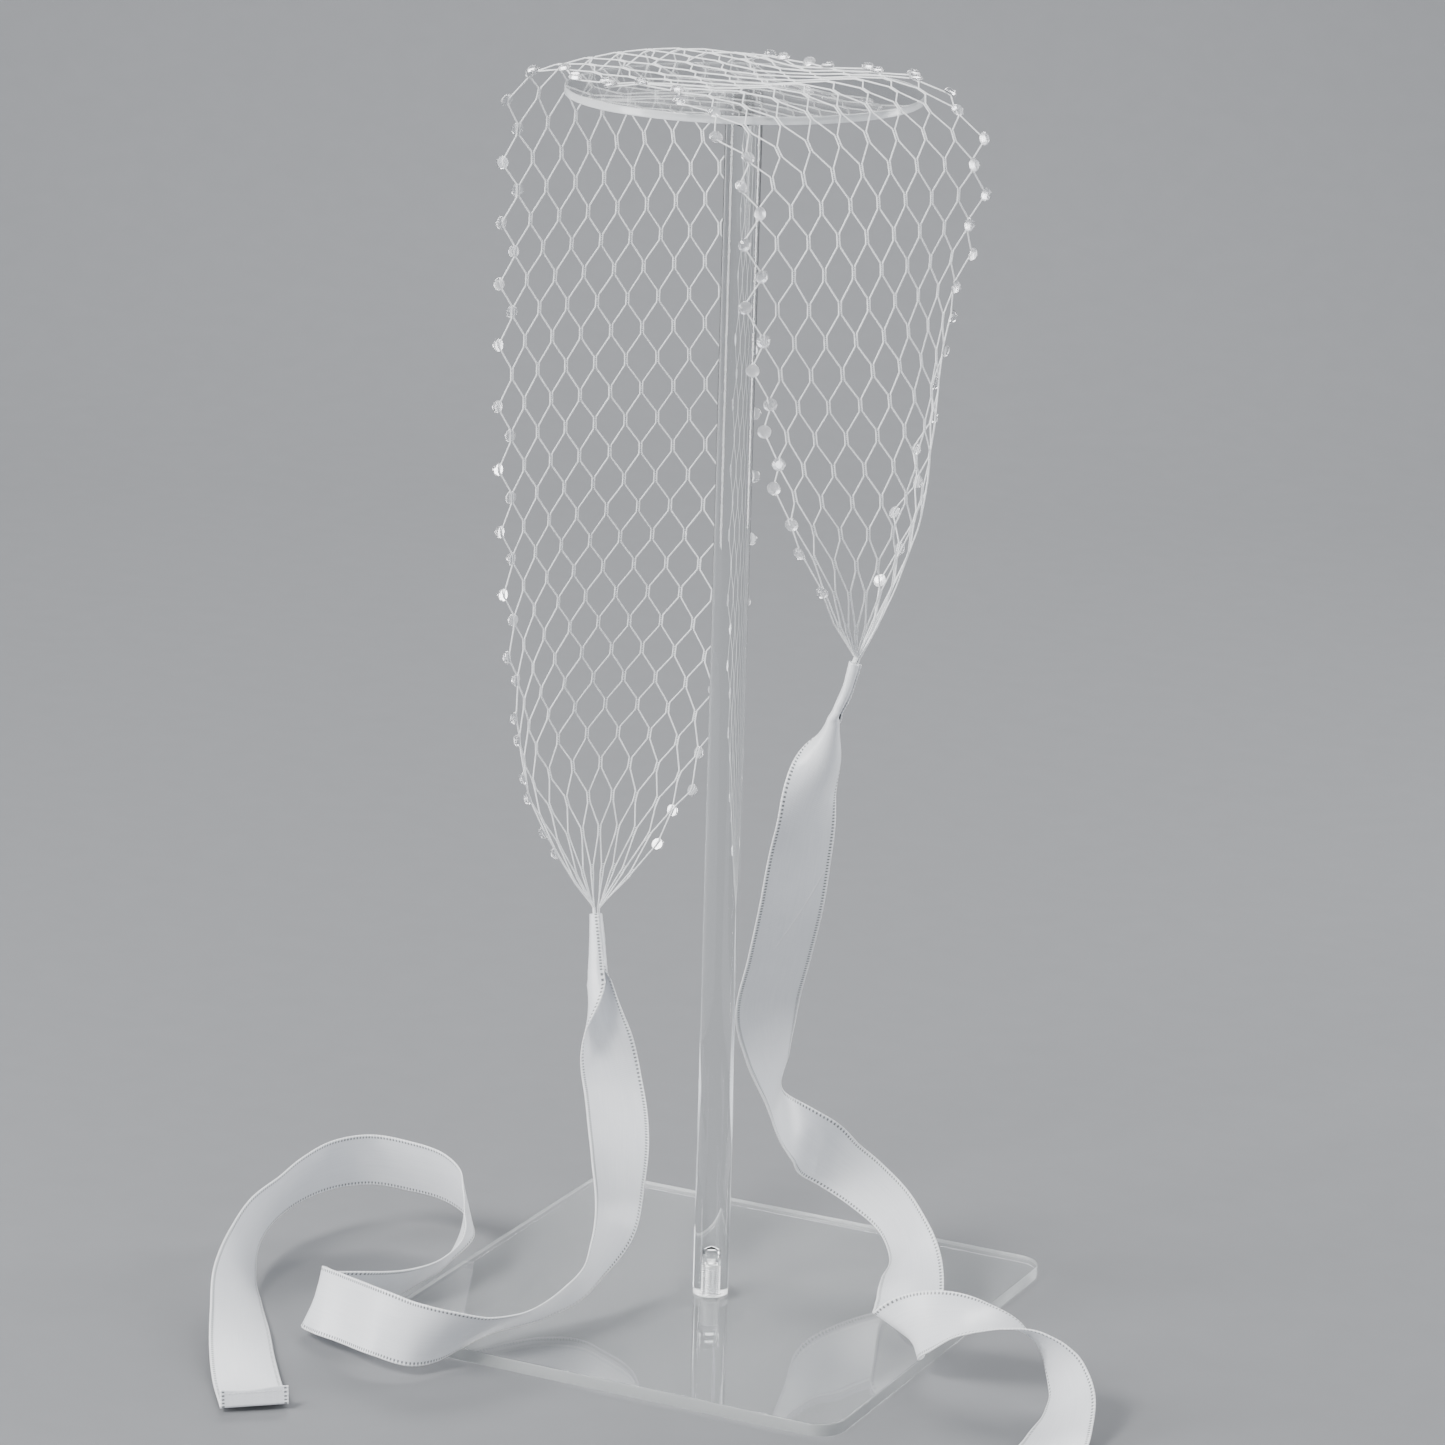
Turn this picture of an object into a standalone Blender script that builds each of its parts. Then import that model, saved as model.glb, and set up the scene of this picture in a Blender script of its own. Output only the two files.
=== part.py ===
"""Net bridal veil with satin ribbon ties, draped over its clear display stand.

Each sub-part is one closed, named object. Sizes are in millimetres and become metres
when a mesh is made. +Z is up and the origin is the middle of the base's underside.
"""
import bmesh
import bpy
import math
from mathutils import Matrix, Vector

MM = 0.001

# Clearances between neighbours
FIT_GAP = 0.3
CLOTH_GAP = 0.35

# Display stand
BASE_WIDTH = 200.0
BASE_THICKNESS = 5.0
BASE_CORNER_RADIUS = 11.0
EDGE_CHAMFER = 0.4
DISC_DIAMETER = 132.8
DISC_THICKNESS = 3.0
STAND_HEIGHT = 477.4
ROD_DIAMETER = 13.8
ROD_BOTTOM = BASE_THICKNESS + FIT_GAP
ROD_TOP = STAND_HEIGHT - DISC_THICKNESS - FIT_GAP
SOCKET_RADIUS = 2.8
SOCKET_DEPTH = 18.5
SOCKET_CONE = 1.8
BASE_SOCKET_DEPTH = 3.5

# Screw between base and rod, and the peg between rod and disc
STUD_RADIUS = 2.5
STUD_CORE_RADIUS = 2.1
STUD_PITCH = 0.8
STUD_LENGTH = 16.0
PEG_RADIUS = 2.5
PEG_LENGTH = 10.0
DISC_SOCKET_DEPTH = 2.0
TOP_SOCKET_DEPTH = 9.5
ROUND_STEPS = 48
STUD_STEPS = 16

# Cloth
NET_WALL = 1.0
RIBBON_WIDTH = 25.4
RIBBON_WALL = 1.0
HEM_DEPTH = 6.0
LONG_HEM_LEAN_DEG = 75.0
SHORT_HEM_LEAN_DEG = 0.0

# The net is one band. Rows count half meshes along it, below zero down the long drop
# and above zero over the disc and down the short drop.
NET_TURN_DEG = -19.2
NET_COLUMNS_ACROSS = 24
NET_ROW_STEP = 0.75
LONG_DROP_ROWS = (-28.0, -0.2)
CROWN_ROWS = (-0.2, 11.2)
SHORT_DROP_ROWS = (11.2, 28.0)
SEAM_ROWS = 0.03
PLEAT_COUNT = 5
PLEAT_DEPTH = 1.1
PLEAT_START_ROW = 21.0
PLEAT_END_ROW = 27.5

# Columns: row, then along, across and height of the front edge, the front third,
# the back third and the back edge. Along and across lie in the net's own direction.
NET_SECTIONS = (
    (-28.0, -77, 6, 141, -81, 8, 141, -81, 12, 141, -77, 13, 141),
    (-26.0, -82, -9, 165, -90, 6, 169, -84, 26, 169, -71, 34, 165),
    (-24.0, -83, -22, 188, -97, 3, 195, -83, 32, 196, -61, 42, 188),
    (-20.0, -82, -35, 238, -89, -2, 244, -77, 32, 244, -47, 49, 241),
    (-14.0, -82, -43, 313, -81, -6, 314, -70, 30, 315, -47, 58, 315),
    (-8.0, -83, -44, 385, -79, -8, 386, -67, 26, 387, -53, 59, 388),
    (-4.0, -80, -46, 432, -74, -10, 434, -65, 24, 436, -59, 62, 434),
    (-1.5, -78, -48, 461, -72, -12, 466, -70, 26, 467, -62, 68, 457),
    (-0.5, -72, -50, 473, -67, -13, 479, -65, 26, 479, -58, 65, 468),
    (0.5, -64, -51, 479, -59, -14, 484, -56, 26, 483, -52, 59, 474),
    (2.0, -46, -53, 482, -43, -16, 484, -39, 26, 483, -36, 49, 481),
    (4.0, -22, -55, 480, -21, -17, 482, -15, 21, 481, -9, 43, 482),
    (7.0, 8, -61, 485, 15, -21, 482, 22, 11, 483, 29, 49, 483),
    (9.5, 36, -64, 480, 44, -28, 484, 52, 7, 485, 54, 46, 481),
    (11.0, 52, -66, 472, 61, -31, 478, 68, 5, 479, 70, 47, 473),
    (12.5, 65, -68, 461, 73, -32, 464, 79, 3, 465, 79, 46, 460),
    (14.5, 72, -71, 443, 79, -33, 442, 84, 2, 442, 81, 43, 440),
    (17.5, 68, -64, 408, 83, -34, 406, 87, 1, 407, 75, 37, 406),
    (21.0, 70, -55, 368, 86, -32, 365, 93, 1, 366, 70, 28, 363),
    (24.0, 75, -49, 336, 89, -29, 330, 92, 1, 329, 68, 16, 328),
    (26.0, 79, -34, 309, 86, -22, 305, 86, -3, 304, 72, 6, 304),
    (28.0, 74, -12, 278, 77, -12, 278, 77, -8, 278, 74, -7, 278),
)

# Columns: x, y, z of the ribbon's middle, then the heading and the rise in degrees of the
# line across it, from its right edge to its left edge where it hangs.
LONG_RIBBON_FALL = (
    (-70, 25, 114, -80, 0),
    (-64, 23, 97, -122, 2),
    (-54, 18, 76, -132, 6),
    (-43, 2, 64, -141, 14),
    (-34, -15, 54, -134, 29),
    (-26, -33, 41, -119, 45),
)
LONG_RIBBON_CURL = (
    (-25, -47, 31, -84, 54),
    (-26, -56, 24, -61, 53),
    (-32, -71, 18, -43, 45),
    (-42, -93, 15, -30, 36),
    (-47, -106, 15, -31, 46),
    (-55, -117, 16, -28, 69),
    (-64, -123, 17, 40, 82),
    (-77, -124, 19, 72, 76),
    (-98, -116, 18, 76, 74),
    (-113, -110, 17, 70, 72),
    (-116, -107, 16, 18, 73),
    (-108, -90, 13, -6, 60),
    (-101, -72, 11, -11, 51),
    (-98, -51, 11, -12, 45),
    (-97, -37, 13, -17, 50),
    (-99, -25, 16, -34, 61),
)
LONG_RIBBON_ARCH = (
    (-100, -18, 19, -61, 67),
    (-102, -11, 22, -87, 66),
    (-109, -2, 26, -81, 67),
    (-120, 3, 29, -73, 69),
    (-137, 3, 31, -66, 71),
    (-153, -1, 32, -60, 71),
    (-164, -12, 31, -53, 70),
    (-170, -27, 28, -46, 67),
    (-172, -43, 24, -45, 67),
    (-171, -60, 20, -81, 73),
    (-165, -79, 14, -128, 63),
    (-156, -97, 10, -141, 43),
    (-140, -122, 7, -143, 26),
    (-127, -142, 4, -144, 13),
    (-115, -159, 2, -144, 2),
    (-98, -181, 2, -143, -1),
)
SHORT_RIBBON_FALL = (
    (64, -41, 256, -150, 0),
    (61, -40, 239, -135, 1),
    (56, -42, 223, -122, 2),
    (52, -41, 204, -131, 3),
    (47, -37, 181, -137, 1),
    (39, -29, 157, -137, -2),
    (29, -17, 133, -138, -7),
    (22, 1, 113, -119, -22),
    (17, 19, 91, -89, -33),
    (13, 34, 69, -65, -37),
)
SHORT_RIBBON_TURN = (
    (18, 47, 57, -89, -51),
    (27, 53, 48, -170, -62),
    (40, 55, 40, 171, -58),
    (53, 52, 33, 162, -56),
    (64, 43, 26, 171, -51),
    (73, 28, 19, -176, -16),
    (81, 8, 13, -170, 16),
)
SHORT_RIBBON_TAIL = (
    (86, -8, 12, -168, 28),
    (90, -19, 13, -162, 38),
    (95, -23, 17, 152, 59),
    (101, -26, 21, 119, 54),
    (108, -27, 24, 104, 42),
    (122, -28, 28, 93, 13),
    (138, -27, 28, 94, -14),
    (145, -27, 26, 99, -29),
    (152, -28, 23, 109, -44),
    (158, -30, 19, 131, -54),
    (163, -33, 15, 155, -54),
    (167, -39, 11, 175, -45),
    (170, -46, 8, -175, -33),
    (173, -60, 4, -170, -14),
    (176, -75, 3, -169, -2),
    (177, -92, 2, -169, 0),
    (176, -112, 2, -173, 0),
)
RIBBON_STEP = 7.0

# Where a ribbon leaves its collar it is rolled up. The roll opens towards the front on
# the long side and away from it on the short side.
ROLL_DEG = 300.0
ROLL_LEAD = 6.0
LONG_ROLL_LENGTH = 43.0
SHORT_ROLL_LENGTH = 46.0
LONG_ROLL_SIDE = -1.0
SHORT_ROLL_SIDE = 1.0
LONG_ROLL_START_WIDTH = RIBBON_WIDTH
SHORT_ROLL_START_WIDTH = 13.0

# Columns: x, y, z of the collar's middle and its outer radius, from top to foot
LONG_COLLAR = (
    (-71.5, 34.5, 139.3, 2.9),
    (-68.5, 30.5, 127.5, 3.7),
    (-65.8, 26.2, 117.1, 4.4),
)
SHORT_COLLAR = (
    (68.0, -34.0, 276.5, 2.6),
    (66.0, -36.0, 266.0, 2.4),
    (63.0, -38.5, 257.0, 2.2),
)
COLLAR_WALL = 1.0
COLLAR_STEPS = 28

# Colour, roughness, metallic and opacity of each material
MATERIAL_LOOKS = {
    "clear_acrylic": ((0.86, 0.90, 0.92), 0.05, 0.0, 0.30),
    "steel": ((0.62, 0.63, 0.65), 0.30, 1.0, 1.0),
    "net_thread": ((0.93, 0.93, 0.92), 0.75, 0.0, 1.0),
    "satin_ribbon": ((0.90, 0.91, 0.92), 0.38, 0.0, 1.0),
}


def clear_scene():
    for item in list(bpy.data.objects):
        bpy.data.objects.remove(item, do_unlink=True)


def make_material(name):
    colour, roughness, metallic, opacity = MATERIAL_LOOKS[name]
    material = bpy.data.materials.new(name)
    material.use_nodes = True
    shader = material.node_tree.nodes["Principled BSDF"]
    shader.inputs["Base Color"].default_value = (*colour, 1.0)
    shader.inputs["Roughness"].default_value = roughness
    shader.inputs["Metallic"].default_value = metallic
    shader.inputs["Alpha"].default_value = opacity
    return material


def add_object(name, points, faces, material):
    """Make one mesh object from points in millimetres."""
    mesh = bpy.data.meshes.new(name)
    mesh.from_pydata([tuple(MM * value for value in point) for point in points], [], faces)
    mesh.validate()
    mesh.materials.append(material)
    item = bpy.data.objects.new(name, mesh)
    bpy.context.scene.collection.objects.link(item)
    return item


def loft_loops(name, loops, material):
    """Join closed loops of equal length, each going anticlockwise seen from the far end."""
    count = len(loops[0])
    points = [point for loop in loops for point in loop]
    faces = []
    for level in range(len(loops) - 1):
        low = level * count
        high = low + count
        for step in range(count):
            after = (step + 1) % count
            faces.append((low + step, low + after, high + after, high + step))
    first_middle = len(points)
    points.append(sum((Vector(point) for point in loops[0]), Vector()) / count)
    last_middle = len(points)
    points.append(sum((Vector(point) for point in loops[-1]), Vector()) / count)
    top = (len(loops) - 1) * count
    for step in range(count):
        after = (step + 1) % count
        faces.append((first_middle, after, step))
        faces.append((last_middle, top + step, top + after))
    return add_object(name, points, faces, material)


def circle_loop(radius, height, count=ROUND_STEPS):
    turns = [math.tau * step / count for step in range(count)]
    return [(radius * math.cos(turn), radius * math.sin(turn), height) for turn in turns]


def rounded_square_loop(width, corner_radius, height, count=ROUND_STEPS):
    """A rounded square with as many points as the circles, an equal share in each corner."""
    loop = []
    corner_steps = count // 4
    reach = width / 2 - corner_radius
    for corner in range(4):
        quarter = math.pi / 2
        corner_x = reach * (1 if corner in (0, 3) else -1)
        corner_y = reach * (1 if corner in (0, 1) else -1)
        for step in range(corner_steps):
            turn = quarter * (corner + step / (corner_steps - 1))
            loop.append((
                corner_x + corner_radius * math.cos(turn),
                corner_y + corner_radius * math.sin(turn),
                height,
            ))
    return loop


def make_base(material):
    inner_width = BASE_WIDTH - 2 * EDGE_CHAMFER
    inner_radius = BASE_CORNER_RADIUS - EDGE_CHAMFER
    loops = [
        rounded_square_loop(inner_width, inner_radius, 0.0),
        rounded_square_loop(BASE_WIDTH, BASE_CORNER_RADIUS, EDGE_CHAMFER),
        rounded_square_loop(BASE_WIDTH, BASE_CORNER_RADIUS, BASE_THICKNESS - EDGE_CHAMFER),
        rounded_square_loop(inner_width, inner_radius, BASE_THICKNESS),
        circle_loop(SOCKET_RADIUS, BASE_THICKNESS),
        circle_loop(SOCKET_RADIUS, BASE_THICKNESS - BASE_SOCKET_DEPTH),
    ]
    return loft_loops("stand_base", loops, material)


def make_rod(material):
    radius = ROD_DIAMETER / 2
    loops = [
        circle_loop(0.2, ROD_BOTTOM + SOCKET_DEPTH + SOCKET_CONE),
        circle_loop(SOCKET_RADIUS, ROD_BOTTOM + SOCKET_DEPTH),
        circle_loop(SOCKET_RADIUS, ROD_BOTTOM),
        circle_loop(radius - EDGE_CHAMFER, ROD_BOTTOM),
        circle_loop(radius, ROD_BOTTOM + EDGE_CHAMFER),
        circle_loop(radius, ROD_TOP - EDGE_CHAMFER),
        circle_loop(radius - EDGE_CHAMFER, ROD_TOP),
        circle_loop(SOCKET_RADIUS, ROD_TOP),
        circle_loop(SOCKET_RADIUS, ROD_TOP - TOP_SOCKET_DEPTH),
        circle_loop(0.2, ROD_TOP - TOP_SOCKET_DEPTH - SOCKET_CONE),
    ]
    return loft_loops("stand_rod", loops, material)


def make_disc(material):
    radius = DISC_DIAMETER / 2
    low = STAND_HEIGHT - DISC_THICKNESS
    steps = 2 * ROUND_STEPS
    loops = [
        circle_loop(SOCKET_RADIUS, low + DISC_SOCKET_DEPTH, steps),
        circle_loop(SOCKET_RADIUS, low, steps),
        circle_loop(radius - EDGE_CHAMFER, low, steps),
        circle_loop(radius, low + EDGE_CHAMFER, steps),
        circle_loop(radius, STAND_HEIGHT - EDGE_CHAMFER, steps),
        circle_loop(radius - EDGE_CHAMFER, STAND_HEIGHT, steps),
    ]
    return loft_loops("stand_disc", loops, material)


def make_stud(material):
    """The headless screw, its thread as rings of the same pitch."""
    low = BASE_THICKNESS - BASE_SOCKET_DEPTH + FIT_GAP
    loops = [circle_loop(STUD_CORE_RADIUS, low, STUD_STEPS)]
    for ring in range(int(STUD_LENGTH / STUD_PITCH)):
        height = low + ring * STUD_PITCH
        loops.append(circle_loop(STUD_RADIUS, height + 0.5 * STUD_PITCH, STUD_STEPS))
        loops.append(circle_loop(STUD_CORE_RADIUS, height + STUD_PITCH, STUD_STEPS))
    return loft_loops("stand_stud", loops, material)


def make_peg(material):
    low = STAND_HEIGHT - DISC_THICKNESS + DISC_SOCKET_DEPTH - FIT_GAP - PEG_LENGTH
    loops = [
        circle_loop(PEG_RADIUS - EDGE_CHAMFER, low, 24),
        circle_loop(PEG_RADIUS, low + EDGE_CHAMFER, 24),
        circle_loop(PEG_RADIUS, low + PEG_LENGTH, 24),
    ]
    return loft_loops("stand_peg", loops, material)


def smooth_step(value):
    value = min(max(value, 0.0), 1.0)
    return value * value * (3.0 - 2.0 * value)


def smooth_between(places, values, place):
    """Pass a smooth curve through values set at uneven places, and read it at one place."""
    last = len(places) - 1
    span = 0
    while span < last - 1 and place > places[span + 1]:
        span += 1

    def slope(index):
        if index == 0:
            return (values[1] - values[0]) / (places[1] - places[0])
        if index == last:
            return (values[last] - values[last - 1]) / (places[last] - places[last - 1])
        before = places[index] - places[index - 1]
        after = places[index + 1] - places[index]
        rise_before = (values[index] - values[index - 1]) / before
        rise_after = (values[index + 1] - values[index]) / after
        return (after * rise_before + before * rise_after) / (before + after)

    width = places[span + 1] - places[span]
    share = (place - places[span]) / width
    square = share * share
    cube = square * share
    return (
        (2 * cube - 3 * square + 1) * values[span]
        + (cube - 2 * square + share) * width * slope(span)
        + (3 * square - 2 * cube) * values[span + 1]
        + (cube - square) * width * slope(span + 1)
    )


def cubic_through_four(share, four):
    """The curve through four points at shares 0, 1/3, 2/3 and 1."""
    third = share - 1 / 3
    two_thirds = share - 2 / 3
    end = share - 1
    return (
        -4.5 * third * two_thirds * end * four[0]
        + 13.5 * share * two_thirds * end * four[1]
        - 13.5 * share * third * end * four[2]
        + 4.5 * share * third * two_thirds * four[3]
    )


def net_point(row, share):
    """A point of the net's middle surface, share 0 at its front edge and 1 at its back edge."""
    places = [section[0] for section in NET_SECTIONS]
    four = []
    for corner in range(4):
        first = 1 + 3 * corner
        values = [Vector(section[first:first + 3]) for section in NET_SECTIONS]
        four.append(smooth_between(places, values, row))
    point = cubic_through_four(share, four)
    return Matrix.Rotation(math.radians(NET_TURN_DEG), 3, "Z") @ point


def pleat_offset(row, share):
    """Waves across the net where it is drawn together above each collar."""
    distance = (abs(row) - PLEAT_START_ROW) / (PLEAT_END_ROW - PLEAT_START_ROW)
    if distance <= 0.0 or distance >= 1.0:
        return 0.0
    fade = math.sin(math.pi * distance) ** 2
    return PLEAT_DEPTH * fade * math.sin(math.tau * PLEAT_COUNT * share)


def net_rows(row_range):
    """Rows of middle points for one stretch of the net."""
    first = row_range[0] + SEAM_ROWS / 2
    last = row_range[1] - SEAM_ROWS / 2
    count = round((last - first) / NET_ROW_STEP)
    rows = []
    for step in range(count + 1):
        row = first + (last - first) * step / count
        rows.append([net_point(row, column / NET_COLUMNS_ACROSS) for column in range(NET_COLUMNS_ACROSS + 1)])
    normals = surface_normals(rows)
    for step, line in enumerate(rows):
        row = first + (last - first) * step / count
        for column in range(NET_COLUMNS_ACROSS + 1):
            line[column] = line[column] + pleat_offset(row, column / NET_COLUMNS_ACROSS) * normals[step][column]
    return rows


def surface_normals(rows):
    normals = []
    for step in range(len(rows)):
        above = rows[max(step - 1, 0)]
        below = rows[min(step + 1, len(rows) - 1)]
        line = []
        for column in range(len(rows[step])):
            left = rows[step][max(column - 1, 0)]
            right = rows[step][min(column + 1, len(rows[step]) - 1)]
            line.append((below[column] - above[column]).cross(right - left).normalized())
        normals.append(line)
    return normals


def make_wall(name, rows, thickness, material):
    """Give a grid of middle points a closed wall of one thickness."""
    normals = surface_normals(rows)
    across = len(rows[0])
    count = across * len(rows)
    points = []
    for side in (0.5, -0.5):
        for line, line_normals in zip(rows, normals):
            points += [point + side * thickness * normal for point, normal in zip(line, line_normals)]
    faces = []
    for step in range(len(rows) - 1):
        for column in range(across - 1):
            corner = step * across + column
            quad = (corner, corner + across, corner + across + 1, corner + 1)
            faces.append(quad)
            faces.append(tuple(count + index for index in reversed(quad)))
    rim = [column for column in range(across - 1)]
    rim += [step * across + across - 1 for step in range(len(rows) - 1)]
    rim += [(len(rows) - 1) * across + column for column in range(across - 1, 0, -1)]
    rim += [step * across for step in range(len(rows) - 1, 0, -1)]
    for index, corner in enumerate(rim):
        after = rim[(index + 1) % len(rim)]
        faces.append((corner, after, count + after, count + corner))
    return add_object(name, points, faces, material)


def lift_clear(line):
    """Raise a row across a ribbon until it clears the base's top or the floor."""
    clearance = RIBBON_WALL / 2 + FIT_GAP
    reach = BASE_WIDTH / 2 + clearance
    lift = 0.0
    for point in line:
        over_base = abs(point.x) < reach and abs(point.y) < reach
        floor = BASE_THICKNESS if over_base else 0.0
        lift = max(lift, floor + clearance - point.z)
    return [point + Vector((0.0, 0.0, lift)) for point in line]


def ribbon_path(stations):
    """Places along a ribbon, with the middle point and the line across it at each."""
    places = [0.0]
    for before, after in zip(stations, stations[1:]):
        places.append(places[-1] + (Vector(after[:3]) - Vector(before[:3])).length)
    middles = [Vector(station[:3]) for station in stations]
    across = []
    for station in stations:
        heading = math.radians(station[3])
        rise = math.radians(station[4])
        across.append(Vector((
            math.cos(rise) * math.cos(heading),
            math.cos(rise) * math.sin(heading),
            math.sin(rise),
        )))
    return places, middles, across


def row_places(places, first, last):
    """Where the rows lie: two or more steps from each station to the next."""
    chosen = [first]
    for before, after in zip(places, places[1:]):
        steps = max(2, math.ceil((after - before) / RIBBON_STEP))
        for step in range(steps):
            place = before + (after - before) * step / steps
            if first + 0.5 < place < last - 0.5:
                chosen.append(place)
    return chosen + [last]


def ribbon_rows(stations, first, last, columns, roll=None):
    """Rows across a ribbon between two places along its path.

    roll holds the rolled length, the side it opens to and the width at its start.
    """
    places, middles, across = ribbon_path(stations)
    rows = []
    for place in row_places(places, first, last):
        middle = smooth_between(places, middles, place)
        ahead = smooth_between(places, middles, place + 0.5) - smooth_between(places, middles, place - 0.5)
        ahead.normalize()
        line = smooth_between(places, across, place)
        line = (line - ahead * line.dot(ahead)).normalized()
        out = ahead.cross(line)
        width = RIBBON_WIDTH
        bend = 0.0
        if roll and place < roll[0]:
            opened = smooth_step((place + ROLL_LEAD) / (roll[0] + ROLL_LEAD))
            bend = math.radians(ROLL_DEG) * (1.0 - opened)
            width = roll[2] + (RIBBON_WIDTH - roll[2]) * smooth_step(2.2 * place / roll[0])
            out = out * roll[1]
        row = []
        for column in range(columns + 1):
            share = column / columns - 0.5
            if bend > 0.02:
                radius = width / bend
                sideways = radius * math.sin(share * bend)
                inwards = radius * (1.0 - math.cos(share * bend))
            else:
                sideways = share * width
                inwards = 0.0
            row.append(middle + sideways * line + inwards * out)
        rows.append(lift_clear(row))
    return rows


def stretch_places(*stretches):
    """Where each stretch of a ribbon starts and ends along the whole path."""
    whole = [station for stretch in stretches for station in stretch]
    places = ribbon_path(whole)[0]
    limits = [0.0]
    index = 0
    for stretch in stretches[:-1]:
        index += len(stretch)
        limits.append(0.5 * (places[index - 1] + places[index]))
    limits.append(places[-1])
    return whole, limits


def make_ribbon(names, stretches, roll, material):
    """One solid for each stretch of a ribbon that shows, with a gap where they meet."""
    whole, limits = stretch_places(*stretches)
    rows = []
    for index, name in enumerate(names):
        first = limits[index] + (CLOTH_GAP / 2 if index else 0.0)
        last = limits[index + 1] - (CLOTH_GAP / 2 if index < len(names) - 1 else 0.0)
        columns = 8 if index == 0 else 4
        rows = ribbon_rows(whole, first, last, columns, roll)
        make_wall(name, rows, RIBBON_WALL, material)
    return whole, limits[-1]


def make_hem(name, stations, end, lean_deg, material):
    """The turned-up end of a ribbon, leaning from flat on the ribbon at 0 to upright at 90."""
    before, after = ribbon_rows(stations, end - 1.0, end, 4)
    ahead = (after[2] - before[2]).normalized()
    up = Vector((0.0, 0.0, 1.0))
    lean = math.radians(lean_deg)
    away = up * math.sin(lean) - ahead * math.cos(lean)
    foot = up * (RIBBON_WALL + CLOTH_GAP) - ahead * 0.5 * RIBBON_WALL * math.sin(lean)
    rows = []
    for step in range(3):
        shift = foot + away * (HEM_DEPTH * (2 - step) / 2)
        rows.append([point + shift for point in after])
    return make_wall(name, rows, RIBBON_WALL, material)


def make_collar(name, stations, material):
    """The ribbon's end wound around the gathered net, as a tapered tube."""
    middles = [Vector(station[:3]) for station in stations]
    ahead = (middles[-1] - middles[0]).normalized()
    side = ahead.cross(Vector((0.0, 1.0, 0.0))).normalized()
    other = ahead.cross(side)

    def ring(middle, radius):
        loop = []
        for step in range(COLLAR_STEPS):
            turn = math.tau * step / COLLAR_STEPS
            loop.append(middle + radius * (math.cos(turn) * side + math.sin(turn) * other))
        return loop

    outside = [ring(middle, station[3]) for middle, station in zip(middles, stations)]
    inside = [ring(middle, station[3] - COLLAR_WALL) for middle, station in zip(middles, stations)]
    loops = outside + inside[::-1]
    points = [point for loop in loops for point in loop]
    faces = []
    for level in range(len(loops)):
        low = level * COLLAR_STEPS
        high = ((level + 1) % len(loops)) * COLLAR_STEPS
        for step in range(COLLAR_STEPS):
            after = (step + 1) % COLLAR_STEPS
            faces.append((low + step, low + after, high + after, high + step))
    return add_object(name, points, faces, material)


def face_outwards():
    """Turn every mesh's faces outwards and shade the cloth smoothly."""
    for item in bpy.data.objects:
        mesh = bmesh.new()
        mesh.from_mesh(item.data)
        bmesh.ops.recalc_face_normals(mesh, faces=mesh.faces)
        bmesh.ops.triangulate(mesh, faces=mesh.faces)
        mesh.to_mesh(item.data)
        mesh.free()


def build_stand(acrylic, steel):
    make_base(acrylic)
    make_rod(acrylic)
    make_disc(acrylic)
    make_stud(steel)
    make_peg(acrylic)


def build_net(thread):
    make_wall("net_long_drop", net_rows(LONG_DROP_ROWS), NET_WALL, thread)
    make_wall("net_crown", net_rows(CROWN_ROWS), NET_WALL, thread)
    make_wall("net_short_drop", net_rows(SHORT_DROP_ROWS), NET_WALL, thread)


def build_ribbons(satin):
    make_collar("long_ribbon_collar", LONG_COLLAR, satin)
    long_roll = (LONG_ROLL_LENGTH, LONG_ROLL_SIDE, LONG_ROLL_START_WIDTH)
    long_names = ("long_ribbon_fall", "long_ribbon_curl", "long_ribbon_arch")
    long_stretches = (LONG_RIBBON_FALL, LONG_RIBBON_CURL, LONG_RIBBON_ARCH)
    whole, end = make_ribbon(long_names, long_stretches, long_roll, satin)
    make_hem("long_ribbon_hem", whole, end, LONG_HEM_LEAN_DEG, satin)

    make_collar("short_ribbon_collar", SHORT_COLLAR, satin)
    short_roll = (SHORT_ROLL_LENGTH, SHORT_ROLL_SIDE, SHORT_ROLL_START_WIDTH)
    short_names = ("short_ribbon_fall", "short_ribbon_turn", "short_ribbon_tail")
    short_stretches = (SHORT_RIBBON_FALL, SHORT_RIBBON_TURN, SHORT_RIBBON_TAIL)
    whole, end = make_ribbon(short_names, short_stretches, short_roll, satin)
    make_hem("short_ribbon_hem", whole, end, SHORT_HEM_LEAN_DEG, satin)


def main():
    clear_scene()
    materials = {name: make_material(name) for name in MATERIAL_LOOKS}
    build_stand(materials["clear_acrylic"], materials["steel"])
    build_net(materials["net_thread"])
    build_ribbons(materials["satin_ribbon"])
    face_outwards()


main()
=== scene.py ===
"""Looks for the net bridal veil with satin ribbon ties, draped over its clear stand.

Sizes are in millimetres in the tables and become metres when a mesh is made.
"""
import bmesh
import bpy
import math
from mathutils import Matrix, Vector, noise


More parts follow.
